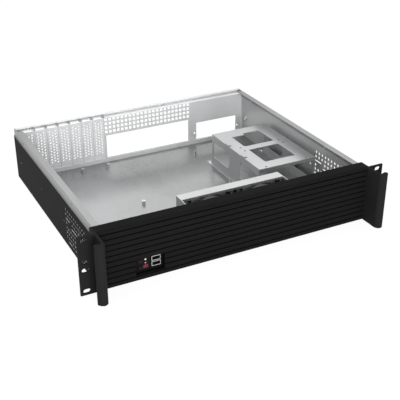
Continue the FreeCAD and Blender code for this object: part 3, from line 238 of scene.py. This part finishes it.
def zinc_finish(looks, name, brush, lift, metallic, roughness):
    """Zinc-plated sheet: fine rolling lines that catch the light, soft stains and a fine grain."""
    made, tree, shader = new_material(name, Metallic=metallic)
    lines = noise(tree, brush, detail=3.0, roughness=0.6)
    stains = noise(tree, ZINC_STAINS, detail=4.0, roughness=0.55)
    grains = noise(tree, ZINC_GRAIN)
    # lift scales the one zinc colour per part: painted light and shade
    colour = [lift * part for part in looks.zinc_colour]
    stained = map_range(tree, stains, 0.0, 1.0, *STAIN_RANGE)
    base = mix_colour(tree, stained, shade(colour, STAIN_TONES[0]), shade(colour, STAIN_TONES[1]))
    base = mix_colour(tree, map_range(tree, lines, 0.0, LINE_SHARE), base, shade(colour, LINE_TONE))
    tree.links.new(base, shader.inputs["Base Color"])
    line_rough = map_range(tree, lines, roughness + ZINC_SPREAD[0], roughness + ZINC_SPREAD[1])
    stain_rough = map_range(tree, stains, *ZINC_SPREAD)
    tree.links.new(math_node(tree, "ADD", line_rough, stain_rough), shader.inputs["Roughness"])
    add_bump(tree, shader, math_node(tree, "MULTIPLY_ADD", grains, GRAIN_SHARE, lines), FINE_BUMP)
    return made, tree, shader


def painted_zinc(looks, name, brush, lift, metallic, roughness):
    """The same sheet with black powder paint on the outside of the case."""
    made, tree, zinc = zinc_finish(looks, name, brush, lift, metallic, roughness)
    paint = tree.nodes.new("ShaderNodeBsdfPrincipled")
    paint.inputs["Specular IOR Level"].default_value = looks.paint_gloss
    speckle = noise(tree, PAINT_SPECKLE)
    fade = noise(tree, PAINT_FADE, detail=3.0)
    tone_base(tree, paint, fade, looks.paint_colour, EVEN_TONES)
    vary_roughness(tree, paint, speckle, looks.paint_roughness, PAINT_SPREAD)
    add_bump(tree, paint, speckle, PAINT_BUMP, 0.7)
    x, _, z = add_node(tree, "ShaderNodeSeparateXYZ", {0: object_point(tree)}).outputs
    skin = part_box("left_side_wall")[0].x + PAINT_SKIN
    sides = math_node(tree, "GREATER_THAN", math_node(tree, "ABSOLUTE", x), -skin)
    under = math_node(tree, "LESS_THAN", z, PAINT_SKIN)
    mix_shaders(tree, math_node(tree, "MAXIMUM", sides, under), zinc, paint)
    return made


def satin_black(name, colour, roughness, gloss, grain=SATIN_GRAIN):
    """Satin anodised or moulded black: a fine even grain and a faint unevenness of tone."""
    made, tree, shader = new_material(name, Specular_IOR_Level=gloss)
    fine = noise(tree, (grain, grain, grain))
    tone_base(tree, shader, noise(tree, SATIN_TONE, detail=3.0), colour, EVEN_TONES)
    vary_roughness(tree, shader, fine, roughness, SATIN_SPREAD)
    add_bump(tree, shader, fine, FINE_BUMP)
    return made


def bright_metal(name, colour, roughness):
    """Plated steel with a very fine grain."""
    made, tree, shader = new_material(name, Metallic=1.0)
    fine = noise(tree, STEEL_GRAIN)
    tone_base(tree, shader, fine, colour, STEEL_TONES)
    vary_roughness(tree, shader, fine, roughness, STEEL_SPREAD)
    return made


def socket_finish(name, colour, roughness):
    """Bright folded shells with painted shade: their insides darken, and lose their metal and some gloss,
    from a little behind their mouths.
    """
    made, tree, shader = new_material(name, Roughness=roughness)
    depth = add_node(tree, "ShaderNodeSeparateXYZ", {0: object_point(tree)}).outputs["Y"]
    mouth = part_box("usb_socket_lower")[0].y
    # Painted shade, from none a little behind the mouth to full deeper in
    inside = map_range(tree, depth, 0.0, 1.0, mouth + SHADOW_START, mouth + SHADOW_END)
    tone_base(tree, shader, inside, colour, SOCKET_SHADE_TONES)
    tree.links.new(math_node(tree, "SUBTRACT", 1.0, inside), shader.inputs["Metallic"])
    gloss = math_node(tree, "MULTIPLY_ADD", inside, -0.4, 0.5)
    tree.links.new(gloss, shader.inputs["Specular IOR Level"])
    return made


def lens_finish(name, colour, glow, cells_per_metre):
    """Tinted lens with a painted glow: a little lighter in the middle of its cells than between them."""
    made, tree, shader = new_material(name, Roughness=0.18)
    point = object_point(tree, (cells_per_metre, cells_per_metre, cells_per_metre))
    cells = add_node(tree, "ShaderNodeTexVoronoi", {"Vector": point, "Scale": 1.0, "Randomness": 0.6})
    # Painted glow: the cell middles go up to glow times the lens colour
    lit = map_range(tree, cells.outputs["Distance"], 1.0, 0.0, 0.1, 0.5)
    tone_base(tree, shader, lit, colour, (LENS_TONE, glow))
    return made


def board_finish(name, colour):
    """Printed board with faint tracks under its lacquer."""
    made, tree, shader = new_material(name, Roughness=0.4)
    tracks = map_range(tree, noise(tree, BOARD_TRACKS, detail=3.0), 0.0, 1.0, *TRACK_RANGE)
    tone_base(tree, shader, tracks, colour, BOARD_TONES)
    return made


def finish_nodes(made, nodes):
    """Gives CAD nodes a finish through their own material slots."""
    for name in nodes:
        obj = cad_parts[name]
        if not obj.material_slots:
            obj.data.materials.append(made)
        for slot in obj.material_slots:
            slot.link = "OBJECT"
            slot.material = made


# Settings ------------------------------------------------------------------------------------

def colour_setting(name, description, default):
    return bpy.props.FloatVectorProperty(name=name, description=description, subtype="COLOR", size=3,
                                         min=0.0, max=1.0, default=default)


def float_setting(name, description, default, **more):
    return bpy.props.FloatProperty(name=name, description=description, default=default, **more)


def share_setting(name, description, default):
    return float_setting(name, description, default, subtype="FACTOR", min=0.0, max=1.0)


def lift_setting(name, description, default):
    return float_setting(name, description, default, min=0.0, max=1.6)


def angle_setting(name, description, degrees):
    return float_setting(name, description, math.radians(degrees), subtype="ANGLE")


def power_setting(name, description, watts):
    return float_setting(name, description, watts, subtype="POWER", unit="POWER", min=0.0)


class CaseFinishes(bpy.types.PropertyGroup):
    zinc_colour: colour_setting("Zinc", "Colour of the plated sheet", (0.58, 0.585, 0.59))
    zinc_roughness: share_setting("Zinc Roughness", "How soft the sheet's reflections are", 0.38)
    zinc_metallic: share_setting("Zinc Metallic", "Share of bare metal in the cage, bracket and rails", 0.6)
    tray_metallic: share_setting("Tray Metallic", "Share of the tray's sheet that is bare metal", 0.85)
    tray_roughness: share_setting("Tray Roughness", "How soft the tray's reflections are", 0.29)
    # The lifts scale the one zinc colour per part: painted light and shade
    tray_lift: lift_setting("Tray Lift", "Brightness of the tray's sheet over the zinc's", 0.5)
    side_metallic: share_setting("Side Metallic", "Share of the sides' sheet that is bare metal", 0.4)
    side_lift: lift_setting("Side Lift", "Brightness of the sides' sheet over the zinc's", 0.72)
    # The rear sheet is paler only by painted light, through Rear Lift
    rear_metallic: share_setting("Rear Metallic", "Share of the paler rear sheet that is bare metal", 0.25)
    rear_lift: lift_setting("Rear Lift", "Brightness of the rear wall's sheet over the zinc's", 1.38)
    cover_lift: lift_setting("Cover Lift", "Brightness of the slot covers over the zinc's", 1.6)
    inner_lift: lift_setting("Inner Lift", "Brightness of the cage and bracket over the zinc's", 0.75)
    rail_lift: lift_setting("Rail Lift", "Brightness of the lid rails over the zinc's", 0.46)
    paint_colour: colour_setting("Paint", "Powder paint on the outside", (0.017, 0.017, 0.018))
    paint_roughness: share_setting("Paint Roughness", "Roughness of the powder paint", 0.55)
    paint_gloss: share_setting("Paint Gloss", "Strength of the paint's reflections", 0.012)
    panel_colour: colour_setting("Panel", "Anodised front and ears", (0.0105, 0.0105, 0.011))
    panel_roughness: share_setting("Panel Roughness", "Roughness of the anodised front", 0.42)
    panel_gloss: share_setting("Panel Gloss", "Strength of the front's reflections", 0.008)
    plastic_colour: colour_setting("Plastic", "Moulded black parts", (0.012, 0.012, 0.012))
    steel_colour: colour_setting("Bright Steel", "Screws, nuts and standoffs", (0.72, 0.72, 0.71))


class CaseScrews(bpy.types.PropertyGroup):
    sides: bpy.props.IntProperty(name="Sides", description="Faces round a screw head", default=28,
                                 min=8, max=64)
    recess_share: share_setting("Recess Width", "Width of the cross recess over the head's width", 0.62)
    blade_share: share_setting("Recess Blade", "Thickness of one blade of the cross over the head's width",
                               0.17)
    depth_share: share_setting("Recess Depth", "Depth of the cross recess over the head's height", 0.75)
    shank_share: share_setting("Shank", "Shank's width over the head's width", 0.5)


class CaseStage(bpy.types.PropertyGroup):
    azimuth: angle_setting("Azimuth", "Camera's angle round the case", -27.052)
    elevation: angle_setting("Elevation", "Camera's angle above the horizon", 27.784)
    roll: angle_setting("Roll", "Camera's turn about its own axis", -0.084)
    distance: float_setting("Distance", "From the camera to the point it looks at", 1.28065,
                            subtype="DISTANCE", unit="LENGTH")
    aim: bpy.props.FloatVectorProperty(name="Aim", description="Point that the camera looks at",
                                       subtype="TRANSLATION", unit="LENGTH", size=3,
                                       default=(0.01294, -0.02261, 0.00916))
    focal_length: float_setting("Focal Length", "Lens, in millimetres", 72.84)
    floor_colour: colour_setting("Floor", "Pale floor under the case", (0.8, 0.8, 0.8))
    floor_glow: float_setting("Floor Glow", "How white the floor looks", 1.1)
    shadow_share: share_setting("Shadow", "How much of the case's shadow the floor keeps", 0.16)
    sky_strength: float_setting("Sky", "Even light from all round", 0.5, min=0.0)
    horizon_strength: share_setting("Horizon", "Brightness that metal reflects from near the floor", 0.25)
    zenith_strength: float_setting("Zenith", "Brightness that metal reflects from overhead", 2.2, min=0.0)
    key_power: power_setting("Key Light", "Soft light from above", 7.5)
    fill_power: power_setting("Side Light", "Soft light from the left", 5.0)
    front_power: power_setting("Front Light", "Soft low light from the front", 32.0)


# Screws --------------------------------------------------------------------------------------

def times(tree, first, second):
    return math_node(tree, "MULTIPLY", first, second)


def vector_from(tree, x, y, z):
    return add_node(tree, "ShaderNodeCombineXYZ", {0: x, 1: y, 2: z}).outputs[0]


def moved_up(tree, solid, height):
    """A primitive moved along the screw's axis."""
    inputs = {"Geometry": solid.outputs["Mesh"], "Translation": vector_from(tree, 0.0, 0.0, height)}
    return add_node(tree, "GeometryNodeTransform", inputs).outputs["Geometry"]


def screw_inputs(tree, screws):
    """The screw tree's sockets, and what they give inside it."""
    tree.interface.new_socket("Places", in_out="INPUT", socket_type="NodeSocketGeometry")
    tree.interface.new_socket("Screws", in_out="OUTPUT", socket_type="NodeSocketGeometry")
    for name, kind, default in (
            ("Head Radius", "NodeSocketFloat", 3.0 * MM),
            ("Head Height", "NodeSocketFloat", 2.0 * MM),
            ("Shank Length", "NodeSocketFloat", 4.0 * MM),
            ("Sides", "NodeSocketInt", screws.sides),
            ("Recess Share", "NodeSocketFloat", screws.recess_share),
            ("Blade Share", "NodeSocketFloat", screws.blade_share),
            ("Depth Share", "NodeSocketFloat", screws.depth_share),
            ("Shank Share", "NodeSocketFloat", screws.shank_share),
            ("Finish", "NodeSocketMaterial", None)):
        socket = tree.interface.new_socket(name, in_out="INPUT", socket_type=kind)
        socket.default_value = default
    return tree.nodes.new("NodeGroupInput").outputs


def uncut_screw(tree, given):
    """A pan head with a chamfered crown, on its shank; the head stands on the origin."""
    radius, height, sides = given["Head Radius"], given["Head Height"], given["Sides"]
    rim = times(tree, height, RIM_SHARE)
    crown_height = math_node(tree, "SUBTRACT", height, rim)
    crown_top = math_node(tree, "SUBTRACT", radius, crown_height)
    shank_radius = times(tree, radius, given["Shank Share"])
    shank_length = given["Shank Length"]
    disc = add_node(tree, "GeometryNodeMeshCylinder", {"Vertices": sides, "Radius": radius, "Depth": rim})
    crown = add_node(tree, "GeometryNodeMeshCone",
                     {"Vertices": sides, "Radius Top": crown_top, "Radius Bottom": radius,
                      "Depth": crown_height})
    shank = add_node(tree, "GeometryNodeMeshCylinder",
                     {"Vertices": sides, "Radius": shank_radius, "Depth": shank_length})
    lower = moved_up(tree, disc, times(tree, rim, 0.5))
    upper = moved_up(tree, crown, rim)
    below = moved_up(tree, shank, times(tree, shank_length, -0.5))
    whole = add_node(tree, "GeometryNodeMeshBoolean", operation="UNION", solver="EXACT")
    for part in (lower, upper, below):
        tree.links.new(part, whole.inputs["Mesh 2"])
    return whole.outputs["Mesh"]


def cut_cross(tree, given, screw):
    """The screw less a cross recess in the top of its head."""
    width = times(tree, given["Head Radius"], 2.0)
    wide = times(tree, width, given["Recess Share"])
    thin = times(tree, width, given["Blade Share"])
    deep = times(tree, times(tree, given["Head Height"], 2.0), given["Depth Share"])
    cut = add_node(tree, "GeometryNodeMeshBoolean", operation="DIFFERENCE", solver="EXACT")
    tree.links.new(screw, cut.inputs["Mesh 1"])
    for size in (vector_from(tree, wide, thin, deep), vector_from(tree, thin, wide, deep)):
        blade = add_node(tree, "GeometryNodeMeshCube", {"Size": size})
        tree.links.new(moved_up(tree, blade, given["Head Height"]), cut.inputs["Mesh 2"])
    return cut.outputs["Mesh"]


def screw_turns(tree):
    """The turn of each screw to its outward direction, with a random turn about its axis."""
    outward = add_node(tree, "GeometryNodeInputNamedAttribute", {"Name": "outward"},
                       data_type="FLOAT_VECTOR").outputs["Attribute"]
    turn = add_node(tree, "FunctionNodeAlignRotationToVector", {"Vector": outward}, axis="Z")
    spin = add_node(tree, "FunctionNodeRandomValue", {"Seed": TURN_SEED}, data_type="FLOAT")
    find_socket(spin.inputs, "Min_001").default_value = 0.0
    find_socket(spin.inputs, "Max_001").default_value = MOST_TURN
    own_turn = add_node(tree, "FunctionNodeAxisAngleToRotation",
                        {"Axis": (0.0, 0.0, 1.0), "Angle": find_socket(spin.outputs, "Value_001")})
    both = add_node(tree, "FunctionNodeRotateRotation",
                    {"Rotation": turn.outputs["Rotation"], "Rotate By": own_turn.outputs["Rotation"]},
                    rotation_space="LOCAL")
    return both.outputs[0]


def screw_tree(screws):
    """Geometry nodes that set a cross-recessed pan-head screw on each point, facing outward."""
    tree = bpy.data.node_groups.new("Cross Recess Screws", "GeometryNodeTree")
    given = screw_inputs(tree, screws)
    screw = cut_cross(tree, given, uncut_screw(tree, given))
    placed = add_node(tree, "GeometryNodeInstanceOnPoints",
                      {"Points": given["Places"], "Instance": screw, "Rotation": screw_turns(tree)})
    real = add_node(tree, "GeometryNodeRealizeInstances", {"Geometry": placed.outputs["Instances"]})
    finished = add_node(tree, "GeometryNodeSetMaterial",
                        {"Geometry": real.outputs["Geometry"], "Material": given["Finish"]})
    end = tree.nodes.new("NodeGroupOutput")
    tree.links.new(finished.outputs["Geometry"], end.inputs["Screws"])
    return tree


def made_plain(obj):
    """Replaces an object's live modifiers by the plain mesh they give."""
    evaluated = obj.evaluated_get(bpy.context.evaluated_depsgraph_get())
    plain = bpy.data.meshes.new_from_object(evaluated)
    obj.modifiers.clear()
    obj.data = plain


def screw_set(tree, name, node, places, outward, sizes, finish):
    """Screws at these places stand for a CAD node of screws."""
    mesh = bpy.data.meshes.new(name)
    mesh.from_pydata(places, [], [])
    attribute = mesh.attributes.new("outward", "FLOAT_VECTOR", "POINT")
    for item in attribute.data:
        item.vector = outward
    obj = bpy.data.objects.new(name, mesh)
    bpy.context.scene.collection.objects.link(obj)
    modifier = obj.modifiers.new("Screws", "NODES")
    modifier.node_group = tree
    values = dict(sizes, Finish=finish)
    for item in tree.interface.items_tree:
        if item.in_out == "INPUT" and item.name in values:
            modifier[item.identifier] = values[item.name]
    made_plain(obj)
    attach(obj, "case")
    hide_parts(node)


# Operators -----------------------------------------------------------------------------------

class CASE_OT_sheet_metal(bpy.types.Operator):
    """Finish the folded sheet: bare zinc inside, black paint outside, each part's zinc lifted as painted
    light and shade
    """
    bl_idname = "case.sheet_metal"
    bl_label = "Sheet Metal"

    def execute(self, context):
        looks = context.scene.case_finishes
        # Each lift is painted light and shade on the one zinc: lighter for the rear wall and covers, darker
        # for the rest
        painted = (
            ("smooth painted zinc sheet", looks.tray_lift, looks.tray_metallic, looks.tray_roughness,
             ["chassis_floor"]),
            ("painted zinc sheet", looks.side_lift, looks.side_metallic, looks.zinc_roughness,
             ["left_side_wall", "right_side_wall"]),
        )
        for name, lift, metallic, roughness, nodes in painted:
            finish_nodes(painted_zinc(looks, name, ZINC_ALONG, lift, metallic, roughness), nodes)
        covers = [f"slot_cover_{number + 1}" for number in range(SLOT_COUNT)]
        bare = (
            ("rear zinc sheet, painted light", ZINC_ACROSS, looks.rear_lift, looks.rear_metallic,
             ["rear_wall", "rear_ledge", "rear_foot", "rear_upstand"]),
            ("cover zinc sheet, painted light", ZINC_ACROSS, looks.cover_lift, looks.rear_metallic, covers),
            ("zinc sheet, rolled across", ZINC_ACROSS, looks.inner_lift, looks.zinc_metallic,
             ["front_wall", "fan_bracket"]),
            ("zinc sheet, rolled along", ZINC_ALONG, looks.inner_lift, looks.zinc_metallic,
             ["drive_cage"]),
            ("lid rail zinc sheet, painted shade", ZINC_ALONG, looks.rail_lift, looks.zinc_metallic,
             ["left_lid_rail", "right_lid_rail"]),
        )
        for name, brush, lift, metallic, nodes in bare:
            sheet = zinc_finish(looks, name, brush, lift, metallic, looks.zinc_roughness)[0]
            finish_nodes(sheet, nodes)
        return {"FINISHED"}


class CASE_OT_front(bpy.types.Operator):
    """Finish the finned front and the two ear handles in satin black, the handles with painted light"""
    bl_idname = "case.front"
    bl_label = "Front and Handles"

    def execute(self, context):
        looks = context.scene.case_finishes
        # The ears take the panel's black lifted 1.7 times, as painted light on the handles
        ear_lit_colour = shade(looks.panel_colour, 1.7)
        for name, colour, nodes in (
                ("anodised black", looks.panel_colour, ["front_panel"]),
                ("anodised black ears, painted lighter", ear_lit_colour, ["left_ear_handle", "right_ear_handle"])):
            finish_nodes(satin_black(name, colour, looks.panel_roughness, looks.panel_gloss), nodes)
        return {"FINISHED"}


class CASE_OT_fans(bpy.types.Operator):
    """Finish the fan frames and rotors in moulded black"""
    bl_idname = "case.fans"
    bl_label = "Fans"

    def execute(self, context):
        colour = context.scene.case_finishes.plastic_colour
        moulded = satin_black("fan frame plastic", colour, roughness=0.5, gloss=0.35, grain=MOULDED_GRAIN)
        finish_nodes(moulded, FAN_FRAMES)
        blades = satin_black("fan blade plastic", colour, roughness=0.35, gloss=0.4, grain=BLADE_GRAIN)
        finish_nodes(blades, ["fan_rotor_1", "fan_rotor_2"])
        return {"FINISHED"}


class CASE_OT_controls(bpy.types.Operator):
    """Finish the buttons, lights, window, sockets and board behind the front's cut-out"""
    bl_idname = "case.controls"
    bl_label = "Controls"

    def execute(self, context):
        plastic = context.scene.case_finishes.plastic_colour
        housing = satin_black("control housing plastic", shade(plastic, 0.5), roughness=0.5, gloss=0.06)
        finish_nodes(housing, ["control_housing"])
        buttons = satin_black("button plastic", shade(plastic, 0.8), roughness=0.4, gloss=0.12)
        finish_nodes(buttons, ["power_button", "reset_button"])
        # The two lights and the status window carry a painted glow, set by their glow factors
        finish_nodes(lens_finish("clear lens", (0.95, 0.95, 0.93), 1.1, LENS_CELLS), ["power_light"])
        finish_nodes(lens_finish("pink lens", (0.5, 0.24, 0.24), 1.5, LENS_CELLS), ["disk_light"])
        window = lens_finish("dark red window", (0.1, 0.006, 0.014), 2.6, WINDOW_CELLS)
        finish_nodes(window, ["status_window"])
        shells = socket_finish("tinned socket steel", (0.95, 0.95, 0.95), roughness=0.3)
        finish_nodes(shells, ["usb_socket_lower", "usb_socket_upper"])
        contacts = satin_black("contact plastic", shade(plastic, 0.3), roughness=0.5, gloss=0.05)
        finish_nodes(contacts, ["usb_tongues"])
        finish_nodes(board_finish("green circuit board", (0.02, 0.11, 0.05)), ["control_board"])
        return {"FINISHED"}


class CASE_OT_screws(bpy.types.Operator):
    """Set cross-recessed screws over the slots, in the cage's feet and round the fans"""
    bl_idname = "case.screws"
    bl_label = "Screws"

    def execute(self, context):
        looks = context.scene.case_finishes
        tree = screw_tree(context.scene.case_screws)
        steel = bright_metal("bright plated steel", looks.steel_colour, roughness=0.25)
        # The slot screws' steel is darkened to 0.4 of its colour as painted shade
        grey = bright_metal("slot screw steel, painted shade", shade(looks.steel_colour, 0.4), roughness=0.2)
        black = satin_black("black oxide screw", (0.02, 0.02, 0.022), roughness=0.35, gloss=0.5)
        finish_nodes(steel, ["board_standoffs", "press_nuts"])
        self.add_slot_screws(tree, grey)
        self.add_cage_screws(tree, steel)
        self.add_fan_screws(tree, black)
        return {"FINISHED"}

    def add_slot_screws(self, tree, finish):
        """An upright screw on each slot cover."""
        low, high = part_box("slot_screws")
        radius = SLOT_HEAD_RADIUS
        step = (high.x - low.x - 2 * radius) / (SLOT_COUNT - 1)
        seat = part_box("slot_cover_1")[1].z
        middle = (low.y + high.y) / 2
        places = [(low.x + radius + step * number, middle, seat) for number in range(SLOT_COUNT)]
        sizes = {"Head Radius": radius, "Head Height": high.z - seat, "Shank Length": seat - low.z}
        screw_set(tree, "slot_cover_screws", "slot_screws", places, (0.0, 0.0, 1.0), sizes, finish)

    def add_cage_screws(self, tree, finish):
        """An upright screw at each corner of the cage screws' box."""
        low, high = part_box("cage_screws")
        radius = CAGE_HEAD_RADIUS
        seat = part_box("rear_foot")[1].z
        across = (low.x + radius, high.x - radius)
        along = (low.y + radius, high.y - radius)
        places = [(x, y, seat) for x in across for y in along]
        sizes = {"Head Radius": radius, "Head Height": high.z - seat, "Shank Length": seat - low.z}
        screw_set(tree, "cage_foot_screws", "cage_screws", places, (0.0, 0.0, 1.0), sizes, finish)

    def add_fan_screws(self, tree, finish):
        """A screw in each corner of both fans, with its head to the front."""
        low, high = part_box("fan_screws")
        radius = FAN_HEAD_RADIUS
        boxes = [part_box(name) for name in FAN_FRAMES]
        middles = [(corner.x + far.x) / 2 for corner, far in boxes]
        seat = boxes[0][1].y - FAN_FLANGE
        reach = middles[0] - low.x - radius
        heights = (low.z + radius, high.z - radius)
        places = [(middle + side * reach, seat, z) for middle in middles for side in (-1, 1) for z in heights]
        sizes = {"Head Radius": radius, "Head Height": seat - low.y, "Shank Length": high.y - seat}
        screw_set(tree, "fan_corner_screws", "fan_screws", places, (0.0, -1.0, 0.0), sizes, finish)


class CASE_OT_stage(bpy.types.Operator):
    """Set the pale floor, soft lights and camera"""
    bl_idname = "case.stage"
    bl_label = "Stage"

    def execute(self, context):
        stage = context.scene.case_stage
        self.add_floor(stage)
        self.add_world(context.scene, stage)
        self.add_lamp("key light", stage.key_power, *KEY_LAMP)
        self.add_lamp("side light", stage.fill_power, *SIDE_LAMP)
        self.add_lamp("front light", stage.front_power, *FRONT_LAMP)
        self.add_camera(context.scene, stage)
        context.scene.view_settings.view_transform = "Standard"
        return {"FINISHED"}

    def add_floor(self, stage):
        """A wide floor that looks white to the camera, less the case's shadow."""
        mesh = bpy.data.meshes.new("floor")
        level = CAD_BOX[0].z - FLOOR_DROP
        signs = ((-1, -1), (1, -1), (1, 1), (-1, 1))
        corners = [(x * FLOOR_REACH, y * FLOOR_REACH, level) for x, y in signs]
        mesh.from_pydata(corners, [], [(0, 1, 2, 3)])
        floor = bpy.data.objects.new("floor", mesh)
        bpy.context.scene.collection.objects.link(floor)
        made, tree, shader = new_material("pale floor", Roughness=1.0, Specular_IOR_Level=0.0)
        shader.inputs["Base Color"].default_value = (*stage.floor_colour, 1.0)
        white = add_node(tree, "ShaderNodeEmission", {"Color": WHITE, "Strength": stage.floor_glow})
        seen = times(tree, self.seen_rays(tree), 1.0 - stage.shadow_share)
        mix_shaders(tree, seen, shader, white)
        mesh.materials.append(made)

    def seen_rays(self, tree):
        """1 for rays from the camera, and for what shiny and clear surfaces show."""
        path = add_node(tree, "ShaderNodeLightPath").outputs
        first = math_node(tree, "MAXIMUM", path["Is Camera Ray"], path["Is Glossy Ray"])
        return math_node(tree, "MAXIMUM", first, path["Is Transmission Ray"])

    def add_world(self, scene, stage):
        """White to the camera, an even sky for light, and a dome for shiny surfaces."""
        world = bpy.data.worlds.new("white studio")
        world.use_nodes = True
        scene.world = world
        tree = world.node_tree
        sky = tree.nodes["Background"]
        sky.inputs["Color"].default_value = WHITE
        path = add_node(tree, "ShaderNodeLightPath").outputs
        direction = add_node(tree, "ShaderNodeTexCoord").outputs["Generated"]
        height = add_node(tree, "ShaderNodeSeparateXYZ", {0: direction}).outputs["Z"]
        dome = map_range(tree, height, stage.horizon_strength, stage.zenith_strength, *DOME_RISE)
        white = math_node(tree, "MAXIMUM", path["Is Camera Ray"], path["Is Transmission Ray"])
        shiny = times(tree, path["Is Glossy Ray"], dome)
        seen = math_node(tree, "MAXIMUM", white, shiny)
        strength = math_node(tree, "MAXIMUM", seen, stage.sky_strength)
        tree.links.new(strength, sky.inputs["Strength"])

    def add_lamp(self, name, power, size, place):
        """A square lamp that faces the middle of the floor under the case."""
        lamp = bpy.data.lights.new(name, "AREA")
        lamp.energy = power
        lamp.size = size
        obj = bpy.data.objects.new(name, lamp)
        obj.location = place
        obj.rotation_euler = (-Vector(place)).to_track_quat("-Z", "Y").to_euler()
        bpy.context.scene.collection.objects.link(obj)

    def add_camera(self, scene, stage):
        """A camera set by its angles round the point it looks at."""
        lens = bpy.data.cameras.new("camera")
        lens.lens = stage.focal_length
        camera = bpy.data.objects.new("camera", lens)
        scene.collection.objects.link(camera)
        level = math.cos(stage.elevation)
        back = Vector((math.sin(stage.azimuth) * level,
                       -math.cos(stage.azimuth) * level,
                       math.sin(stage.elevation)))
        right = Vector((0.0, 0.0, 1.0)).cross(back).normalized()
        up = back.cross(right)
        turned_right = right * math.cos(stage.roll) + up * math.sin(stage.roll)
        turned_up = up * math.cos(stage.roll) - right * math.sin(stage.roll)
        turn = Matrix((turned_right, turned_up, back)).transposed()
        place = Vector(stage.aim) + back * stage.distance
        camera.matrix_world = Matrix.Translation(place) @ turn.to_4x4()
        scene.camera = camera


class CASE_PT_looks(bpy.types.Panel):
    """Lists the steps that dress the case, and their settings"""
    bl_idname = "CASE_PT_looks"
    bl_label = "Rackmount Case"
    bl_space_type = "VIEW_3D"
    bl_region_type = "UI"
    bl_category = "Case"

    def draw(self, context):
        for group in (context.scene.case_finishes, context.scene.case_screws, context.scene.case_stage):
            box = self.layout.box()
            for name in group.__annotations__:
                box.prop(group, name)
        for operator in STEPS:
            self.layout.operator(operator.bl_idname)


GROUPS = (CaseFinishes, CaseScrews, CaseStage)
STEPS = (CASE_OT_sheet_metal, CASE_OT_front, CASE_OT_fans, CASE_OT_controls, CASE_OT_screws, CASE_OT_stage)
CLASSES = GROUPS + STEPS + (CASE_PT_looks,)


def register():
    for item in CLASSES:
        bpy.utils.register_class(item)
    bpy.types.Scene.case_finishes = bpy.props.PointerProperty(type=CaseFinishes)
    bpy.types.Scene.case_screws = bpy.props.PointerProperty(type=CaseScrews)
    bpy.types.Scene.case_stage = bpy.props.PointerProperty(type=CaseStage)


def unregister():
    del bpy.types.Scene.case_stage
    del bpy.types.Scene.case_screws
    del bpy.types.Scene.case_finishes
    for item in reversed(CLASSES):
        bpy.utils.unregister_class(item)


def main():
    register()
    bpy.ops.case.sheet_metal()
    bpy.ops.case.front()
    bpy.ops.case.fans()
    bpy.ops.case.controls()
    bpy.ops.case.screws()
    bpy.ops.case.stage()


if __name__ == "__main__":
    main()
